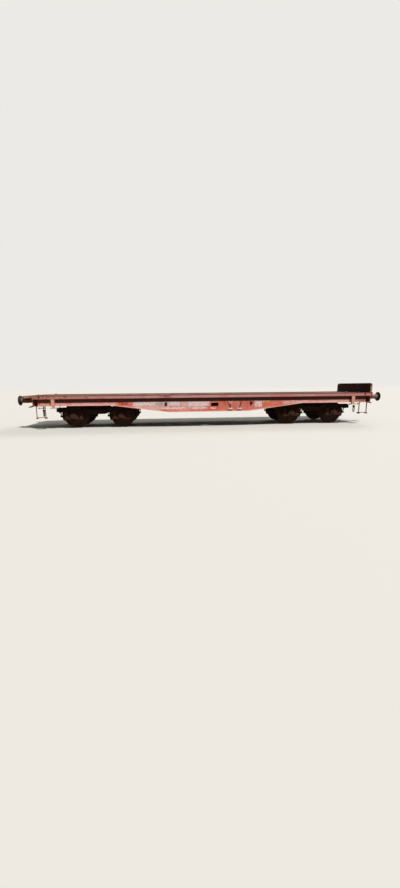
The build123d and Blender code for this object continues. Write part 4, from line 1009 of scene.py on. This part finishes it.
airBrake = {
    "bolt": (9 * mm, 11 * mm), "axis": 0.765,
    "cylinder": 0.3, "cylinderEnds": (0.25, 0.71), "flangeBolts": (12, 0.189),  # count, ring's radius
    "tank": 0.56, "tankRadius": 0.165, "sunk": 2 * mm,
    "tankRings": (  # where along, then half the width at the foot and at the top, and the rise
        ((-0.745, -0.305), 20 * mm, 20 * mm, 5 * mm),
        ((-0.905, -0.145), 6 * mm, 3 * mm, 3 * mm),
    ),
    "valve": (0.51, 0.76, 0.711), "valveCover": (58 * mm, 9 * mm, 3 * mm), "valveBolts": (6, 0.05, 0),
    "pipes": (  # radius, bend, then the route in metres
        (13 * mm, 60 * mm, ((0.15, -0.3, 0.925), (0.15, 0.76, 0.925), (0.421, 0.76, 0.925))),
        (11 * mm, 40 * mm, ((0.45, 0.666, 0.885), (0.45, 0.56, 0.885), (-0.03, 0.56, 0.885),
                            (-0.03, 0.56, 0.765), (-0.09, 0.56, 0.765))),
        (11 * mm, 25 * mm, ((0.421, 0.7, 0.84), (0.205, 0.7, 0.84), (0.205, 0.33, 0.84),
                            (0.251, 0.33, 0.84))),
    ),
    "unions": ((0.15, -0.3, 0.93), (0.4, 0.76, 0.925), (0.45, 0.65, 0.885), (0.4, 0.7, 0.84)),
    "union": 24 * mm,
    "drain": (-0.525, 0.56, 0.603), "drainBoss": (20 * mm, 18 * mm, 3 * mm),
    "drainHandle": ((-0.525, 0.53, 0.593), (-0.525, 0.59, 0.593)), "drainBar": 5 * mm,
    "cock": (6.62, -0.3, 0.964), "cockCap": (18 * mm, 12 * mm, 3 * mm),
    "cockHandle": ((0, 16 * mm), (60 * mm, 20 * mm), (120 * mm, -5 * mm)),  # across and up
    "cockBar": 7 * mm, "cockBend": 30 * mm,
    "nozzle": (6.68, -0.3, 0.93),  # its place, then its half section
    "nozzleSection": ((-2 * mm, 16 * mm), (-2 * mm, 27 * mm), (32 * mm, 27 * mm), (32 * mm, 16 * mm)),
}


def addAirBrake(look):
    shape = bmesh.new()
    for towards, x in zip(sides, look["cylinderEnds"]):
        for across, up in ringOf(*look["flangeBolts"]):
            addBolt(shape, (x, look["cylinder"] + across, look["axis"] + up), (towards, 0, 0), *look["bolt"])
    for places, foot, top, rise in look["tankRings"]:
        inner, outer = look["tankRadius"] - look["sunk"], look["tankRadius"] + rise
        for x in places:
            addTurned(shape, (x, look["tank"], look["axis"]), (1, 0, 0),
                      ((-foot, inner), (-top, outer), (top, outer), (foot, inner)))
    x, y, z = look["valve"]
    addDisc(shape, (x, y, z), (0, 0, -1), *look["valveCover"])
    for along, across in ringOf(*look["valveBolts"]):
        addBolt(shape, (x + along, y + across, z), (0, 0, -1), *look["bolt"])
    for radius, bend, route in look["pipes"]:
        addBar(shape, route, radius, bend, sides=12)
    for place in look["unions"]:
        bmesh.ops.create_icosphere(shape, subdivisions=2, radius=look["union"],
                                   matrix=Matrix.Translation(place))
    # A drain cock under the tank
    addDisc(shape, look["drain"], (0, 0, -1), *look["drainBoss"])
    addBar(shape, look["drainHandle"], look["drainBar"], 0)
    # Handles and open nozzles of the angle cocks
    x, y, z = look["cock"]
    for end in sides:
        addDisc(shape, (end * x, y, z), (0, 0, 1), *look["cockCap"])
        addBar(shape, [(end * x, y + across, z + up) for across, up in look["cockHandle"]], look["cockBar"],
               look["cockBend"])
        along, across, height = look["nozzle"]
        addTurned(shape, (end * along, across, height), (end, 0, 0), look["nozzleSection"], 24)
    keepPiece("airBrakeFittings", shape, "under", "root", 45)


addAirBrake(airBrake)
print("air brake ready")


# Bogie fittings: stiffeners in the side frames, nuts on the brake beams, pins of the shoe hangers

bogieFittings = {
    "axle": 0.9, "spring": 0.258, "webFace": 1.011, "flangeEdgeHighlight": 1.082, "low": 0.6635, "high": 0.7935,
    "thickness": 12 * mm, "edge": 2 * mm,
    "beam": 0.556, "beamHeight": 0.45, "beamEnd": 0.8155, "nut": (21 * mm, 26 * mm),
    "hangerFace": 0.8075, "outerPin": 0.59, "innerPin": 0.64, "pin": (17 * mm, 9 * mm, 2 * mm),
}


def addBogieFittings(look):
    half = look["thickness"] / 2
    for letter in "ab":
        centre = middleOf(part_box("bogie_" + letter + "_frame")).x
        shape = bmesh.new()
        for axleSide, springSide in quarters:
            axle = centre + axleSide * look["axle"]
            spring, beam = axle + springSide * look["spring"], axle + springSide * look["beam"]
            pinHeight = look["outerPin"] if springSide == axleSide else look["innerPin"]
            for side in sides:
                addBlock(shape, (spring - half, side * look["webFace"], look["low"]),
                         (spring + half, side * look["flangeEdgeHighlight"], look["high"]), look["edge"])
                addBolt(shape, (beam, side * look["beamEnd"], look["beamHeight"]), (0, side, 0),
                        *look["nut"])
                addDisc(shape, (beam, side * look["hangerFace"], pinHeight), (0, side, 0), *look["pin"],
                        sides=16)
        keepPiece("bogieFittings_" + letter, shape, "bogie", "bogie_" + letter)


addBogieFittings(bogieFittings)
print("bogie fittings ready")
